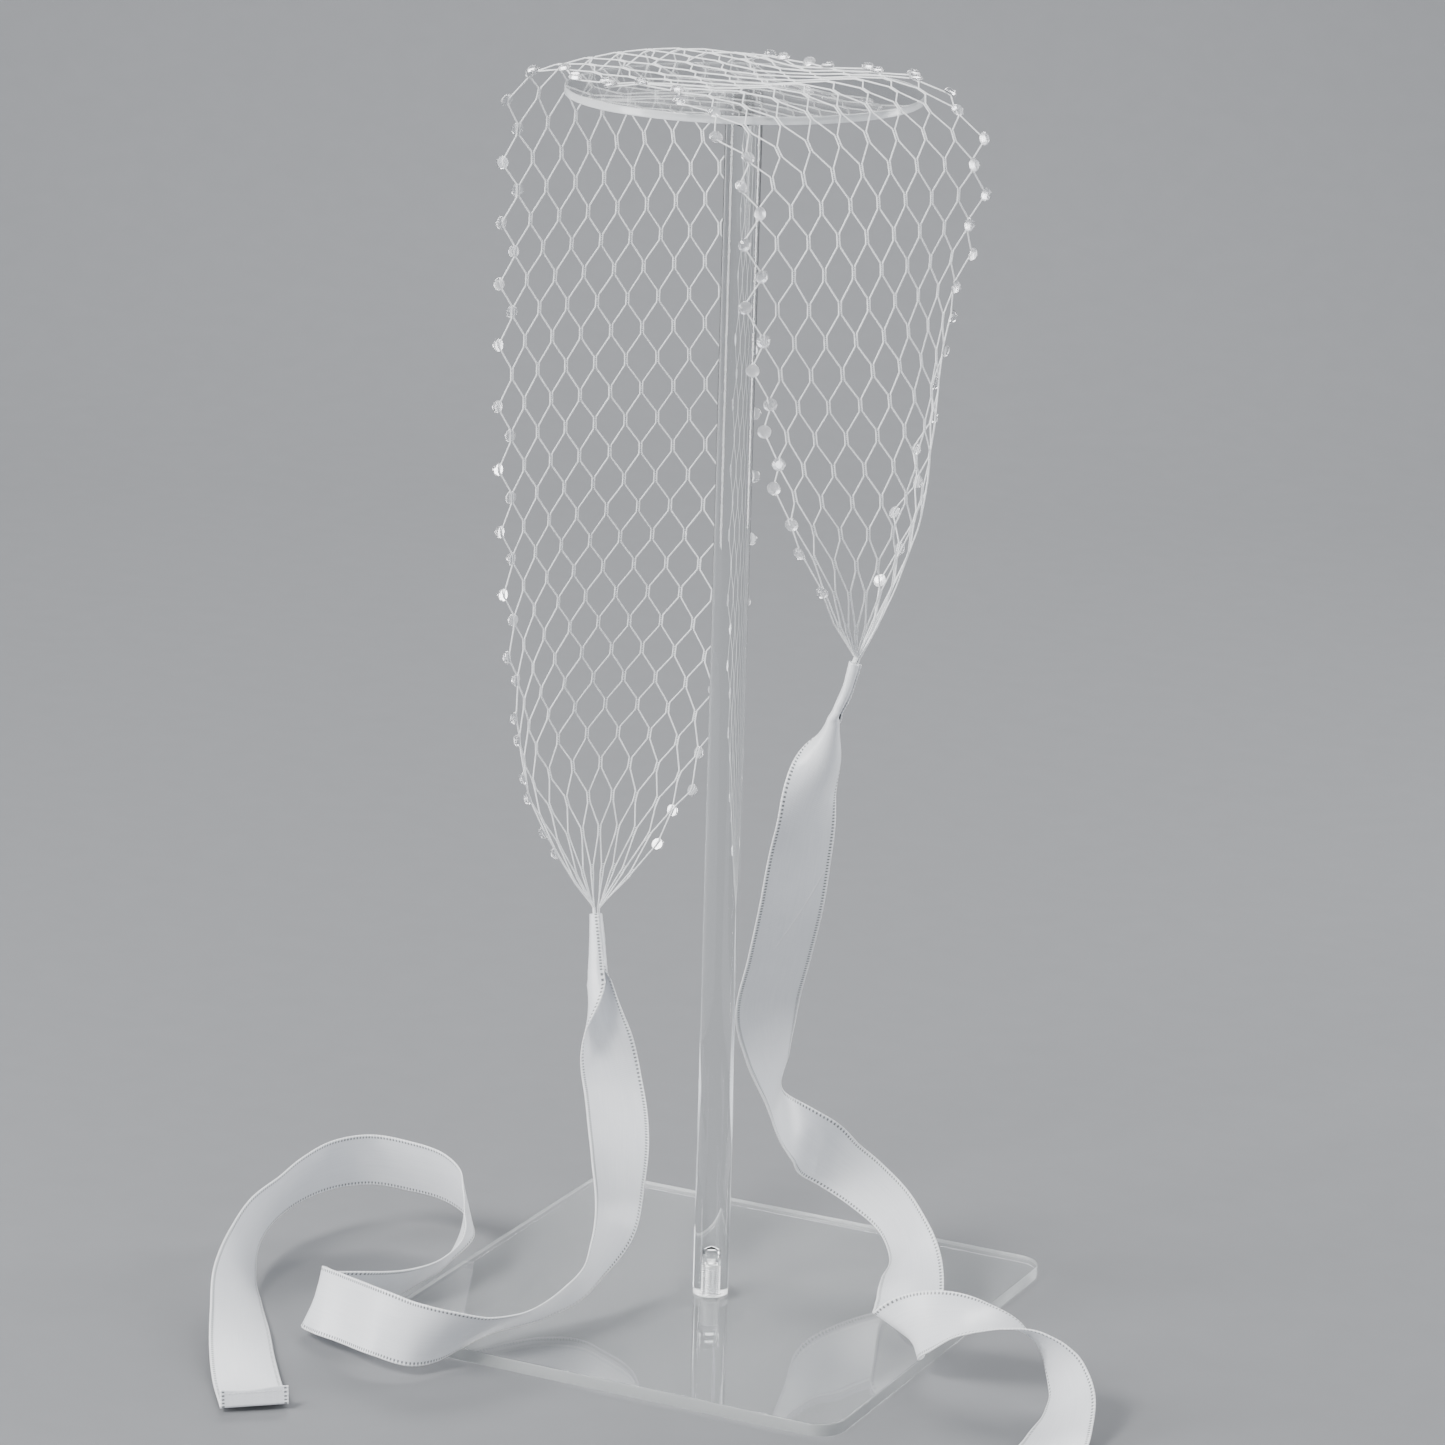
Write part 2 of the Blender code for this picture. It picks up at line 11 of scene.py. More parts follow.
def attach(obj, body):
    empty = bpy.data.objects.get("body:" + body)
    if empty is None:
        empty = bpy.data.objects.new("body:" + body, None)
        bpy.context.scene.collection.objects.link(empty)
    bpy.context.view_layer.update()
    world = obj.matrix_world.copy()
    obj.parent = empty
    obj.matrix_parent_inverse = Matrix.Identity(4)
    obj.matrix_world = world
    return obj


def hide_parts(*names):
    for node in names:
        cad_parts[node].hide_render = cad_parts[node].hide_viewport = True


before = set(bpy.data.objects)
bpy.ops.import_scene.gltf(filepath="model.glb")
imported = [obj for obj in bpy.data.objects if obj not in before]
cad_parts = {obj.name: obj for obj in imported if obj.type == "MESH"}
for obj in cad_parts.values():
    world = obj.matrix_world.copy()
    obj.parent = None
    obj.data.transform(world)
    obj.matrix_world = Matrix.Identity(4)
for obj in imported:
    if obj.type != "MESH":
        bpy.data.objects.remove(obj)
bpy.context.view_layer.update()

MM = 0.001

# Display stand, as in the part
BASE_WIDTH = 200.0
BASE_THICKNESS = 5.0
BASE_CORNER_RADIUS = 11.0
EDGE_ROUND = 0.4
FIT_GAP = 0.3
DISC_DIAMETER = 132.8
DISC_THICKNESS = 3.0
STAND_HEIGHT = 477.4
ROD_DIAMETER = 13.8
ROD_BOTTOM = BASE_THICKNESS + FIT_GAP
ROD_TOP = STAND_HEIGHT - DISC_THICKNESS - FIT_GAP
SOCKET_RADIUS = 2.8
SOCKET_DEPTH = 18.5
SOCKET_CONE = 1.8
TAPPED_RADIUS = 2.0
TAPPED_END_RADIUS = 2.45
BASE_SOCKET_DEPTH = 3.5
STUD_RADIUS = 2.5
STUD_CORE_RADIUS = 2.1
STUD_PITCH = 0.8
STUD_LENGTH = 16.0
PEG_RADIUS = 2.5
PEG_LENGTH = 10.0
DISC_SOCKET_DEPTH = 2.0
TOP_SOCKET_DEPTH = 9.5
TURNED_STEPS = 96
ROUND_STEPS = 4

# Cloth, as in the part
RIBBON_WIDTH = 25.4
HEM_DEPTH = 6.0
LONG_HEM_LEAN_DEG = 75.0
SHORT_HEM_LEAN_DEG = 0.0
HEM_FOLD = 0.35
NET_TURN_DEG = -19.2
NET_SECTIONS = (
    (-28.0, -77, 6, 141, -81, 8, 141, -81, 12, 141, -77, 13, 141),
    (-26.0, -82, -9, 165, -90, 6, 169, -84, 26, 169, -71, 34, 165),
    (-24.0, -83, -22, 188, -97, 3, 195, -83, 32, 196, -61, 42, 188),
    (-20.0, -82, -35, 238, -89, -2, 244, -77, 32, 244, -47, 49, 241),
    (-14.0, -82, -43, 313, -81, -6, 314, -70, 30, 315, -47, 58, 315),
    (-8.0, -83, -44, 385, -79, -8, 386, -67, 26, 387, -53, 59, 388),
    (-4.0, -80, -46, 432, -74, -10, 434, -65, 24, 436, -59, 62, 434),
    (-1.5, -78, -48, 461, -72, -12, 466, -70, 26, 467, -62, 68, 457),
    (-0.5, -72, -50, 473, -67, -13, 479, -65, 26, 479, -58, 65, 468),
    (0.5, -64, -51, 479, -59, -14, 484, -56, 26, 483, -52, 59, 474),
    (2.0, -46, -53, 482, -43, -16, 484, -39, 26, 483, -36, 49, 481),
    (4.0, -22, -55, 480, -21, -17, 482, -15, 21, 481, -9, 43, 482),
    (7.0, 8, -61, 485, 15, -21, 482, 22, 11, 483, 29, 49, 483),
    (9.5, 36, -64, 480, 44, -28, 484, 52, 7, 485, 54, 46, 481),
    (11.0, 52, -66, 472, 61, -31, 478, 68, 5, 479, 70, 47, 473),
    (12.5, 65, -68, 461, 73, -32, 464, 79, 3, 465, 79, 46, 460),
    (14.5, 72, -71, 443, 79, -33, 442, 84, 2, 442, 81, 43, 440),
    (17.5, 68, -64, 408, 83, -34, 406, 87, 1, 407, 75, 37, 406),
    (21.0, 70, -55, 368, 86, -32, 365, 93, 1, 366, 70, 28, 363),
    (24.0, 75, -49, 336, 89, -29, 330, 92, 1, 329, 68, 16, 328),
    (26.0, 79, -34, 309, 86, -22, 305, 86, -3, 304, 72, 6, 304),
    (28.0, 74, -12, 278, 77, -12, 278, 77, -8, 278, 74, -7, 278),
)
LONG_RIBBON = (
    (-70, 25, 114, -80, 0),
    (-64, 23, 97, -122, 2),
    (-54, 18, 76, -132, 6),
    (-43, 2, 64, -141, 14),
    (-34, -15, 54, -134, 29),
    (-26, -33, 41, -119, 45),
    (-25, -47, 31, -84, 54),
    (-26, -56, 24, -61, 53),
    (-32, -71, 18, -43, 45),
    (-42, -93, 15, -30, 36),
    (-47, -106, 15, -31, 46),
    (-55, -117, 16, -28, 69),
    (-64, -123, 17, 40, 82),
    (-77, -124, 19, 72, 76),
    (-98, -116, 18, 76, 74),
    (-113, -110, 17, 70, 72),
    (-116, -107, 16, 18, 73),
    (-108, -90, 13, -6, 60),
    (-101, -72, 11, -11, 51),
    (-98, -51, 11, -12, 45),
    (-97, -37, 13, -17, 50),
    (-99, -25, 16, -34, 61),
    (-100, -18, 19, -61, 67),
    (-102, -11, 22, -87, 66),
    (-109, -2, 26, -81, 67),
    (-120, 3, 29, -73, 69),
    (-137, 3, 31, -66, 71),
    (-153, -1, 32, -60, 71),
    (-164, -12, 31, -53, 70),
    (-170, -27, 28, -46, 67),
    (-172, -43, 24, -45, 67),
    (-171, -60, 20, -81, 73),
    (-165, -79, 14, -128, 63),
    (-156, -97, 10, -141, 43),
    (-140, -122, 7, -143, 26),
    (-127, -142, 4, -144, 13),
    (-115, -159, 2, -144, 2),
    (-98, -181, 2, -143, -1),
)
SHORT_RIBBON = (
    (64, -41, 256, -150, 0),
    (61, -40, 239, -135, 1),
    (56, -42, 223, -122, 2),
    (52, -41, 204, -131, 3),
    (47, -37, 181, -137, 1),
    (39, -29, 157, -137, -2),
    (29, -17, 133, -138, -7),
    (22, 1, 113, -119, -22),
    (17, 19, 91, -89, -33),
    (13, 34, 69, -65, -37),
    (18, 47, 57, -89, -51),
    (27, 53, 48, -170, -62),
    (40, 55, 40, 171, -58),
    (53, 52, 33, 162, -56),
    (64, 43, 26, 171, -51),
    (73, 28, 19, -176, -16),
    (81, 8, 13, -170, 16),
    (86, -8, 12, -168, 28),
    (90, -19, 13, -162, 38),
    (95, -23, 17, 152, 59),
    (101, -26, 21, 119, 54),
    (108, -27, 24, 104, 42),
    (122, -28, 28, 93, 13),
    (138, -27, 28, 94, -14),
    (145, -27, 26, 99, -29),
    (152, -28, 23, 109, -44),
    (158, -30, 19, 131, -54),
    (163, -33, 15, 155, -54),
    (167, -39, 11, 175, -45),
    (170, -46, 8, -175, -33),
    (173, -60, 4, -170, -14),
    (176, -75, 3, -169, -2),
    (177, -92, 2, -169, 0),
    (176, -112, 2, -173, 0),
)
ROLL_DEG = 300.0
ROLL_LEAD = 6.0
LONG_ROLL = (43.0, -1.0, RIBBON_WIDTH)
SHORT_ROLL = (46.0, 1.0, 13.0)
LONG_COLLAR = (
    (-71.5, 34.5, 139.3, 2.9),
    (-68.5, 30.5, 127.5, 3.7),
    (-65.8, 26.2, 117.1, 4.4),
)
SHORT_COLLAR = (
    (68.0, -34.0, 276.5, 2.6),
    (66.0, -36.0, 266.0, 2.4),
    (63.0, -38.5, 257.0, 2.2),
)

# Net threads
NET_THREADS = 17
END_ROW = 28
THREAD_RADIUS = 0.29
THREAD_SIDES = 6
KNOT_LENGTH = 4.8
KNOT_GAP = 1.15
RUNG_RADIUS = 0.14
RUNGS_PER_KNOT = 6
BUNDLE_RADIUS = 1.25
LAST_CRYSTAL_ROW = 26

# Flat-backed crystals on the net's edges. Columns: radius and height above the foil back.
CRYSTAL_PROFILE = ((2.3, 0.0), (2.5, 0.3), (2.5, 0.65), (1.55, 1.9))
CRYSTAL_FACETS = 16
CRYSTAL_LIFT = 0.3
CRYSTAL_HUB_TOP = 420.0
LOST_CRYSTAL = (-10, 1)

# Ribbon as real cloth
SATIN_THICKNESS = 0.32
SATIN_STEP = 1.5
SATIN_COLUMNS = (-0.5, -0.478, -0.455, -0.4, -0.35, -0.3, -0.25, -0.2, -0.15, -0.1, -0.05, 0.0,
                 0.05, 0.1, 0.15, 0.2, 0.25, 0.3, 0.35, 0.4, 0.455, 0.478, 0.5)
WOUND_PITCH = 0.6

# A faint crease down the short ribbon, raised by its bump and painted lighter as a highlight: its place across and
# along at either end
CREASE = ((0.05, 61.0), (0.62, 100.0))
SELVEDGE_THICKNESS = 0.5
RIB_PITCH = 0.75
PICOT_PITCH = 1.3

# The camera as it was found from the stand, in a frame whose X is the picture's right
PHOTO_WIDTH = 1445
FOCAL_PIXELS = 5412.25
CAMERA_DISTANCE = 1980.7
CAMERA_HEIGHT = 770.6
CAMERA_PITCH = 0.2661
CAMERA_ROLL = 0.0286
CAMERA_YAW = -0.0008
PART_TURN_DEG = 25.81
SENSOR_WIDTH = 36.0


# Curves and surfaces shared with the part
def smooth_step(value):
    value = min(max(value, 0.0), 1.0)
    return value * value * (3.0 - 2.0 * value)


def smooth_between(places, values, place):
    """Pass a smooth curve through values set at uneven places, and read it at one place."""
    last = len(places) - 1
    span = 0
    while span < last - 1 and place > places[span + 1]:
        span += 1

    def slope(index):
        if index == 0:
            return (values[1] - values[0]) / (places[1] - places[0])
        if index == last:
            return (values[last] - values[last - 1]) / (places[last] - places[last - 1])
        before = places[index] - places[index - 1]
        after = places[index + 1] - places[index]
        rise_before = (values[index] - values[index - 1]) / before
        rise_after = (values[index + 1] - values[index]) / after
        return (after * rise_before + before * rise_after) / (before + after)

    width = places[span + 1] - places[span]
    share = (place - places[span]) / width
    square = share * share
    cube = square * share
    return (
        (2 * cube - 3 * square + 1) * values[span]
        + (cube - 2 * square + share) * width * slope(span)
        + (3 * square - 2 * cube) * values[span + 1]
        + (cube - square) * width * slope(span + 1)
    )


def cubic_through_four(share, four):
    third = share - 1 / 3
    two_thirds = share - 2 / 3
    end = share - 1
    return (
        -4.5 * third * two_thirds * end * four[0]
        + 13.5 * share * two_thirds * end * four[1]
        - 13.5 * share * third * end * four[2]
        + 4.5 * share * third * two_thirds * four[3]
    )


SECTION_PLACES = [section[0] for section in NET_SECTIONS]
SECTION_POINTS = [
    [Vector(section[first:first + 3]) for section in NET_SECTIONS] for first in (1, 4, 7, 10)
]
NET_TURN = Matrix.Rotation(math.radians(NET_TURN_DEG), 3, "Z")


def net_point(row, share):
    """A point of the net's middle surface, share 0 at its front edge and 1 at its back edge."""
    four = [smooth_between(SECTION_PLACES, points, row) for points in SECTION_POINTS]
    return NET_TURN @ cubic_through_four(share, four)


def lift_clear(line, thickness):
    """Raise a row across a ribbon until it clears the base's top or the floor."""
    clearance = thickness / 2 + 0.1
    reach = BASE_WIDTH / 2 + clearance
    lift = 0.0
    for point in line:
        over_base = abs(point.x) < reach and abs(point.y) < reach
        floor = BASE_THICKNESS if over_base else 0.0
        lift = max(lift, floor + clearance - point.z)
    return [point + Vector((0.0, 0.0, lift)) for point in line]


# Mesh making
def add_mesh(name, points, faces, material, smooth=True, uvs=None):
    """Make one mesh object from points in millimetres. uvs holds one pair for each point."""
    mesh = bpy.data.meshes.new(name)
    mesh.from_pydata([tuple(MM * value for value in point) for point in points], [], faces)
    if uvs:
        layer = mesh.uv_layers.new(name="cloth")
        for loop in mesh.loops:
            layer.data[loop.index].uv = uvs[loop.vertex_index]
    mesh.polygons.foreach_set("use_smooth", [smooth] * len(mesh.polygons))
    mesh.materials.append(material)
    item = bpy.data.objects.new(name, mesh)
    bpy.context.scene.collection.objects.link(item)
    return item


def face_outwards(item):
    shape = bmesh.new()
    shape.from_mesh(item.data)
    bmesh.ops.recalc_face_normals(shape, faces=shape.faces)
    shape.to_mesh(item.data)
    shape.free()
    return item


def grid_normals(rows):
    normals = []
    for step in range(len(rows)):
        above = rows[max(step - 1, 0)]
        below = rows[min(step + 1, len(rows) - 1)]
        line = []
        for column in range(len(rows[step])):
            left = rows[step][max(column - 1, 0)]
            right = rows[step][min(column + 1, len(rows[step]) - 1)]
            line.append((below[column] - above[column]).cross(right - left).normalized())
        normals.append(line)
    return normals


def thin_wall(name, rows, thicknesses, material, coordinates):
    """Give a grid of middle points a closed thin wall, with one thickness for each column."""
    normals = grid_normals(rows)
    across = len(rows[0])
    count = across * len(rows)
    points = []
    uvs = []
    for side in (0.5, -0.5):
        for line, line_normals, line_uvs in zip(rows, normals, coordinates):
            for column in range(across):
                points.append(line[column] + side * thicknesses[column] * line_normals[column])
                uvs.append(line_uvs[column])
    faces = []
    for step in range(len(rows) - 1):
        for column in range(across - 1):
            corner = step * across + column
            quad = (corner, corner + across, corner + across + 1, corner + 1)
            faces.append(quad)
            faces.append(tuple(count + index for index in reversed(quad)))
    rim = list(range(across - 1))
    rim += [step * across + across - 1 for step in range(len(rows) - 1)]
    rim += [(len(rows) - 1) * across + column for column in range(across - 1, 0, -1)]
    rim += [step * across for step in range(len(rows) - 1, 0, -1)]
    for index, corner in enumerate(rim):
        after = rim[(index + 1) % len(rim)]
        faces.append((corner, after, count + after, count + corner))
    return face_outwards(add_mesh(name, points, faces, material, uvs=uvs))


def tube_into(shape, path, radius, sides, capped=False):
    """Add a tube along a path to the lists of points, faces and uvs in shape."""
    points, faces, uvs = shape
    first = len(points)
    ahead = (path[1] - path[0]).normalized()
    side = ahead.orthogonal().normalized()
    gone = 0.0
    for index, middle in enumerate(path):
        before = path[max(index - 1, 0)]
        after = path[min(index + 1, len(path) - 1)]
        turned = (after - before).normalized()
        side = (side - turned * side.dot(turned)).normalized()
        other = turned.cross(side)
        if index:
            gone += (middle - before).length
        for step in range(sides):
            turn = math.tau * step / sides
            points.append(middle + radius * (math.cos(turn) * side + math.sin(turn) * other))
            uvs.append((step / sides, gone))
    for level in range(len(path) - 1):
        low = first + level * sides
        for step in range(sides):
            after = (step + 1) % sides
            faces.append((low + step, low + after, low + sides + after, low + sides + step))
    if capped:
        faces.append(tuple(first + step for step in reversed(range(sides))))
        top = first + (len(path) - 1) * sides
        faces.append(tuple(top + step for step in range(sides)))


def shade_by_face(item):
    """Shade level faces flat and the rest smooth, so that clear flats don't bend the light."""
    for face in item.data.polygons:
        face.use_smooth = abs(face.normal.z) < 0.999
    return item


def spun_shape(name, profile, material, steps=TURNED_STEPS):
    """Turn a profile of radius and height pairs about the rod's axis."""
    points = []
    rings = []
    for radius, height in profile:
        if radius == 0.0:
            rings.append([len(points)] * steps)
            points.append(Vector((0.0, 0.0, height)))
            continue
        rings.append(list(range(len(points), len(points) + steps)))
        for step in range(steps):
            turn = math.tau * step / steps
            points.append(Vector((radius * math.cos(turn), radius * math.sin(turn), height)))
    faces = []
    for low, high in zip(rings, rings[1:]):
        for step in range(steps):
            after = (step + 1) % steps
            corners = [low[step], low[after], high[after], high[step]]
            unlike = list(dict.fromkeys(corners))
            if len(unlike) > 2:
                faces.append(tuple(unlike))
    return shade_by_face(face_outwards(add_mesh(name, points, faces, material)))


def rounded(outer, inner, height, direction, radius=EDGE_ROUND):
    """Profile points that round the corner between a wall at radius outer and a flat face.

    direction is 1 where the wall ends upwards, and inner is 1 where the flat face goes inwards.
    """
    turned = []
    for step in range(ROUND_STEPS + 1):
        angle = 0.5 * math.pi * step / ROUND_STEPS
        turned.append((
            outer - inner * radius * (1.0 - math.cos(angle)),
            height - direction * radius * (1.0 - math.sin(angle)),
        ))
    return turned


# Materials
def new_material(name):
    material = bpy.data.materials.new(name)
    material.use_nodes = True
    tree = material.node_tree
    return material, tree, tree.nodes["Principled BSDF"]


def new_group(name, inputs, outputs):
    tree = bpy.data.node_groups.new(name, "ShaderNodeTree")
    for label, kind in inputs:
        tree.interface.new_socket(name=label, in_out="INPUT", socket_type=kind)
    for label, kind in outputs:
        tree.interface.new_socket(name=label, in_out="OUTPUT", socket_type=kind)
    return tree, tree.nodes.new("NodeGroupInput"), tree.nodes.new("NodeGroupOutput")


def add_math(tree, operation, first, second=None):
    """A Math node whose two inputs are sockets or numbers."""
    node = tree.nodes.new("ShaderNodeMath")
    node.operation = operation
    for socket, value in zip(node.inputs, (first, second)):
        if value is None:
            continue
        if isinstance(value, (int, float)):
            socket.default_value = value
        else:
            tree.links.new(value, socket)
    return node.outputs[0]


def make_patches_group():
    """Slow, faint variation over a surface, from 0 to 1."""
    tree, _, end = new_group("faint_patches", (), (("Patches", "NodeSocketFloat"),))
    place = tree.nodes.new("ShaderNodeTexCoord")
    cloud = tree.nodes.new("ShaderNodeTexNoise")
    cloud.inputs["Scale"].default_value = 55.0
    cloud.inputs["Detail"].default_value = 3.0
    tree.links.new(place.outputs["Object"], cloud.inputs["Vector"])
    tree.links.new(cloud.outputs["Fac"], end.inputs["Patches"])
    return tree


def make_satin_group():
    """Cross ribs, warp lines and the selvedge of a satin ribbon, from its cloth map.

    The map's first number goes from 0 to 1 across the ribbon and its second is the
    distance along it in millimetres.
    """
    outputs = (
        ("Height", "NodeSocketFloat"),
        ("Selvedge", "NodeSocketFloat"),
        ("Gap Shade", "NodeSocketFloat"),
        ("Shade", "NodeSocketFloat"),
    )
    tree, _, end = new_group("satin_weave", (), outputs)
    cloth = tree.nodes.new("ShaderNodeUVMap")
    cloth.uv_map = "cloth"
    split = tree.nodes.new("ShaderNodeSeparateXYZ")
    tree.links.new(cloth.outputs["UV"], split.inputs[0])
    across = split.outputs["X"]
    along = split.outputs["Y"]

    slanted = add_math(tree, "ADD", add_math(tree, "MULTIPLY", across, 9.0), along)
    ribs = add_math(tree, "SINE", add_math(tree, "MULTIPLY", slanted, math.tau / RIB_PITCH))
    lines = add_math(tree, "SINE", add_math(tree, "MULTIPLY", across, math.tau * 60.0))
    weave = add_math(tree, "ADD", add_math(tree, "MULTIPLY", ribs, 0.5), add_math(tree, "MULTIPLY", lines, 0.15))

    from_middle = add_math(tree, "ABSOLUTE", add_math(tree, "SUBTRACT", across, 0.5))
    edge = add_math(tree, "GREATER_THAN", from_middle, 0.47)
    beads = add_math(tree, "SINE", add_math(tree, "MULTIPLY", along, math.tau / PICOT_PITCH))
    stitched = add_math(tree, "MULTIPLY", edge, add_math(tree, "GREATER_THAN", beads, -0.2))
    # The stitch gaps: dots in a band just inside each edge, between the stitches. The bump presses them in, and the
    # satin material colours them dark as painted shade.
    beside = add_math(tree, "MULTIPLY", add_math(tree, "GREATER_THAN", from_middle, 0.436),
                      add_math(tree, "LESS_THAN", from_middle, 0.474))
    gaps = add_math(tree, "MULTIPLY", beside, add_math(tree, "LESS_THAN", beads, -0.2))
    height = add_math(tree, "ADD", add_math(tree, "MULTIPLY", weave, 0.3),
                      add_math(tree, "SUBTRACT", stitched, gaps))

    streak_place = tree.nodes.new("ShaderNodeCombineXYZ")
    tree.links.new(add_math(tree, "MULTIPLY", across, 38.0), streak_place.inputs["X"])
    tree.links.new(add_math(tree, "MULTIPLY", along, 0.05), streak_place.inputs["Y"])
    streaks = tree.nodes.new("ShaderNodeTexNoise")
    streaks.inputs["Scale"].default_value = 1.0
    streaks.inputs["Detail"].default_value = 4.0
    tree.links.new(streak_place.outputs[0], streaks.inputs["Vector"])

    tree.links.new(height, end.inputs["Height"])
    tree.links.new(stitched, end.inputs["Selvedge"])
    tree.links.new(gaps, end.inputs["Gap Shade"])
    tree.links.new(streaks.outputs["Fac"], end.inputs["Shade"])
    return tree


def mix_colours(tree, factor, low, high):
    mix = tree.nodes.new("ShaderNodeMix")
    mix.data_type = "RGBA"
    tree.links.new(factor, mix.inputs["Factor"])
    mix.inputs[6].default_value = (*low, 1.0)
    mix.inputs[7].default_value = (*high, 1.0)
    return mix.outputs[2]


def mix_sockets(tree, factor, low, high):
    """Mix a colour socket with a fixed colour."""
    mix = tree.nodes.new("ShaderNodeMix")
    mix.data_type = "RGBA"
    tree.links.new(factor, mix.inputs["Factor"])
    tree.links.new(low, mix.inputs[6])
    mix.inputs[7].default_value = (*high, 1.0)
    return mix.outputs[2]


def add_bump(tree, shader, height, strength, distance):
    bump = tree.nodes.new("ShaderNodeBump")
    bump.inputs["Strength"].default_value = strength
    bump.inputs["Distance"].default_value = distance
    tree.links.new(height, bump.inputs["Height"])
    tree.links.new(bump.outputs["Normal"], shader.inputs["Normal"])


def add_group(tree, group):
    node = tree.nodes.new("ShaderNodeGroup")
    node.node_tree = group
    return node


def crease_mask(tree, crease):
    """1 along a straight crease on the cloth map, fading to 0 beside it and at its ends."""
    (start_across, start_along), (end_across, end_along) = crease
    cloth = tree.nodes.new("ShaderNodeUVMap")
    cloth.uv_map = "cloth"
    split = tree.nodes.new("ShaderNodeSeparateXYZ")
    tree.links.new(cloth.outputs["UV"], split.inputs[0])
    wide = (end_across - start_across) * RIBBON_WIDTH
    length = math.hypot(wide, end_along - start_along)
    side_on = (end_along - start_along) / length
    long_on = wide / length
    across = add_math(tree, "MULTIPLY", add_math(tree, "SUBTRACT", split.outputs["X"], start_across), RIBBON_WIDTH)
    along = add_math(tree, "SUBTRACT", split.outputs["Y"], start_along)
    beside = add_math(tree, "SUBTRACT", add_math(tree, "MULTIPLY", across, side_on),
                      add_math(tree, "MULTIPLY", along, long_on))
    gone = add_math(tree, "ADD", add_math(tree, "MULTIPLY", across, long_on),
                    add_math(tree, "MULTIPLY", along, side_on))
    near = add_math(tree, "SUBTRACT", 1.0, add_math(tree, "MULTIPLY", add_math(tree, "ABSOLUTE", beside), 2.2))
    middle = add_math(tree, "ABSOLUTE", add_math(tree, "SUBTRACT", gone, 0.5 * length))
    inside = add_math(tree, "MULTIPLY", add_math(tree, "SUBTRACT", 0.5 * length, middle), 0.25)
    limited = add_math(tree, "MINIMUM", add_math(tree, "MAXIMUM", inside, 0.0), 1.0)
    return add_math(tree, "MULTIPLY", add_math(tree, "MAXIMUM", near, 0.0), limited)


def make_satin(name, patches, weave, crease=None):
    material, tree, shader = new_material(name)
    marks = add_group(tree, weave)
    cloud = add_group(tree, patches)
    tone = add_math(tree, "ADD", add_math(tree, "MULTIPLY", marks.outputs["Shade"], 0.6),
                    add_math(tree, "MULTIPLY", cloud.outputs["Patches"], 0.4))
    body = mix_colours(tree, tone, (0.70, 0.72, 0.76), (0.90, 0.91, 0.93))
    edged = mix_sockets(tree, marks.outputs["Selvedge"], body, (0.96, 0.965, 0.97))
    # Painted shade: the stitch gaps are coloured nearly black.
    colour_with_painted_light = mix_sockets(tree, marks.outputs["Gap Shade"], edged, (0.16, 0.17, 0.18))
    height = marks.outputs["Height"]
    if crease:
        line = crease_mask(tree, crease)
        # Painted highlight: the crease's ridge is coloured lighter, besides its bump.
        colour_with_painted_light = mix_sockets(tree, add_math(tree, "MULTIPLY", line, 0.6), colour_with_painted_light, (0.97, 0.97, 0.98))
        height = add_math(tree, "ADD", height, add_math(tree, "MULTIPLY", line, 1.5))
    tree.links.new(colour_with_painted_light, shader.inputs["Base Color"])
    rough = add_math(tree, "ADD", 0.26, add_math(tree, "MULTIPLY", marks.outputs["Shade"], 0.14))
    tree.links.new(rough, shader.inputs["Roughness"])
    shader.inputs["Sheen Weight"].default_value = 0.15
    shader.inputs["Sheen Roughness"].default_value = 0.4
    shader.inputs["Specular IOR Level"].default_value = 0.65
    add_bump(tree, shader, height, 0.45, 0.00018)
    return material


def make_thread(name, colour_low, colour_high, pitch):
    """White twisted thread. The map's second number is the distance along it in millimetres."""
    material, tree, shader = new_material(name)
    cloth = tree.nodes.new("ShaderNodeUVMap")
    cloth.uv_map = "cloth"
    split = tree.nodes.new("ShaderNodeSeparateXYZ")
    tree.links.new(cloth.outputs["UV"], split.inputs[0])
    turned = add_math(tree, "MULTIPLY", split.outputs["X"], math.tau * 2)
    gone = add_math(tree, "MULTIPLY", split.outputs["Y"], math.tau / pitch)
    twist = add_math(tree, "SINE", add_math(tree, "ADD", turned, gone))
    half = add_math(tree, "ADD", add_math(tree, "MULTIPLY", twist, 0.5), 0.5)
    # Painted shade: the colour follows the twist's height and is darker in its grooves.
    colour = mix_colours(tree, half, colour_low, colour_high)
    tree.links.new(colour, shader.inputs["Base Color"])
    shader.inputs["Roughness"].default_value = 0.55
    shader.inputs["Sheen Weight"].default_value = 0.3
    add_bump(tree, shader, half, 0.5, 0.0001)
    return material


def thin_shadow(tree, shader, shadow):
    """Let light through to what lies behind a clear piece, all but the share in shadow."""
    path = tree.nodes.new("ShaderNodeLightPath")
    passed = add_math(tree, "MULTIPLY", path.outputs["Is Shadow Ray"], 1.0 - shadow)
    tree.links.new(add_math(tree, "SUBTRACT", 1.0, passed), shader.inputs["Alpha"])


def make_clear(name, colour, refraction, low_rough, high_rough, shadow, patches):
    """Clear acrylic or glass, with faint handling marks in its roughness."""
    material, tree, shader = new_material(name)
    cloud = add_group(tree, patches)
    shader.inputs["Base Color"].default_value = (*colour, 1.0)
    shader.inputs["Transmission Weight"].default_value = 1.0
    shader.inputs["IOR"].default_value = refraction
    wear = add_math(tree, "MULTIPLY", cloud.outputs["Patches"], high_rough - low_rough)
    tree.links.new(add_math(tree, "ADD", wear, low_rough), shader.inputs["Roughness"])
    thin_shadow(tree, shader, shadow)
    return material


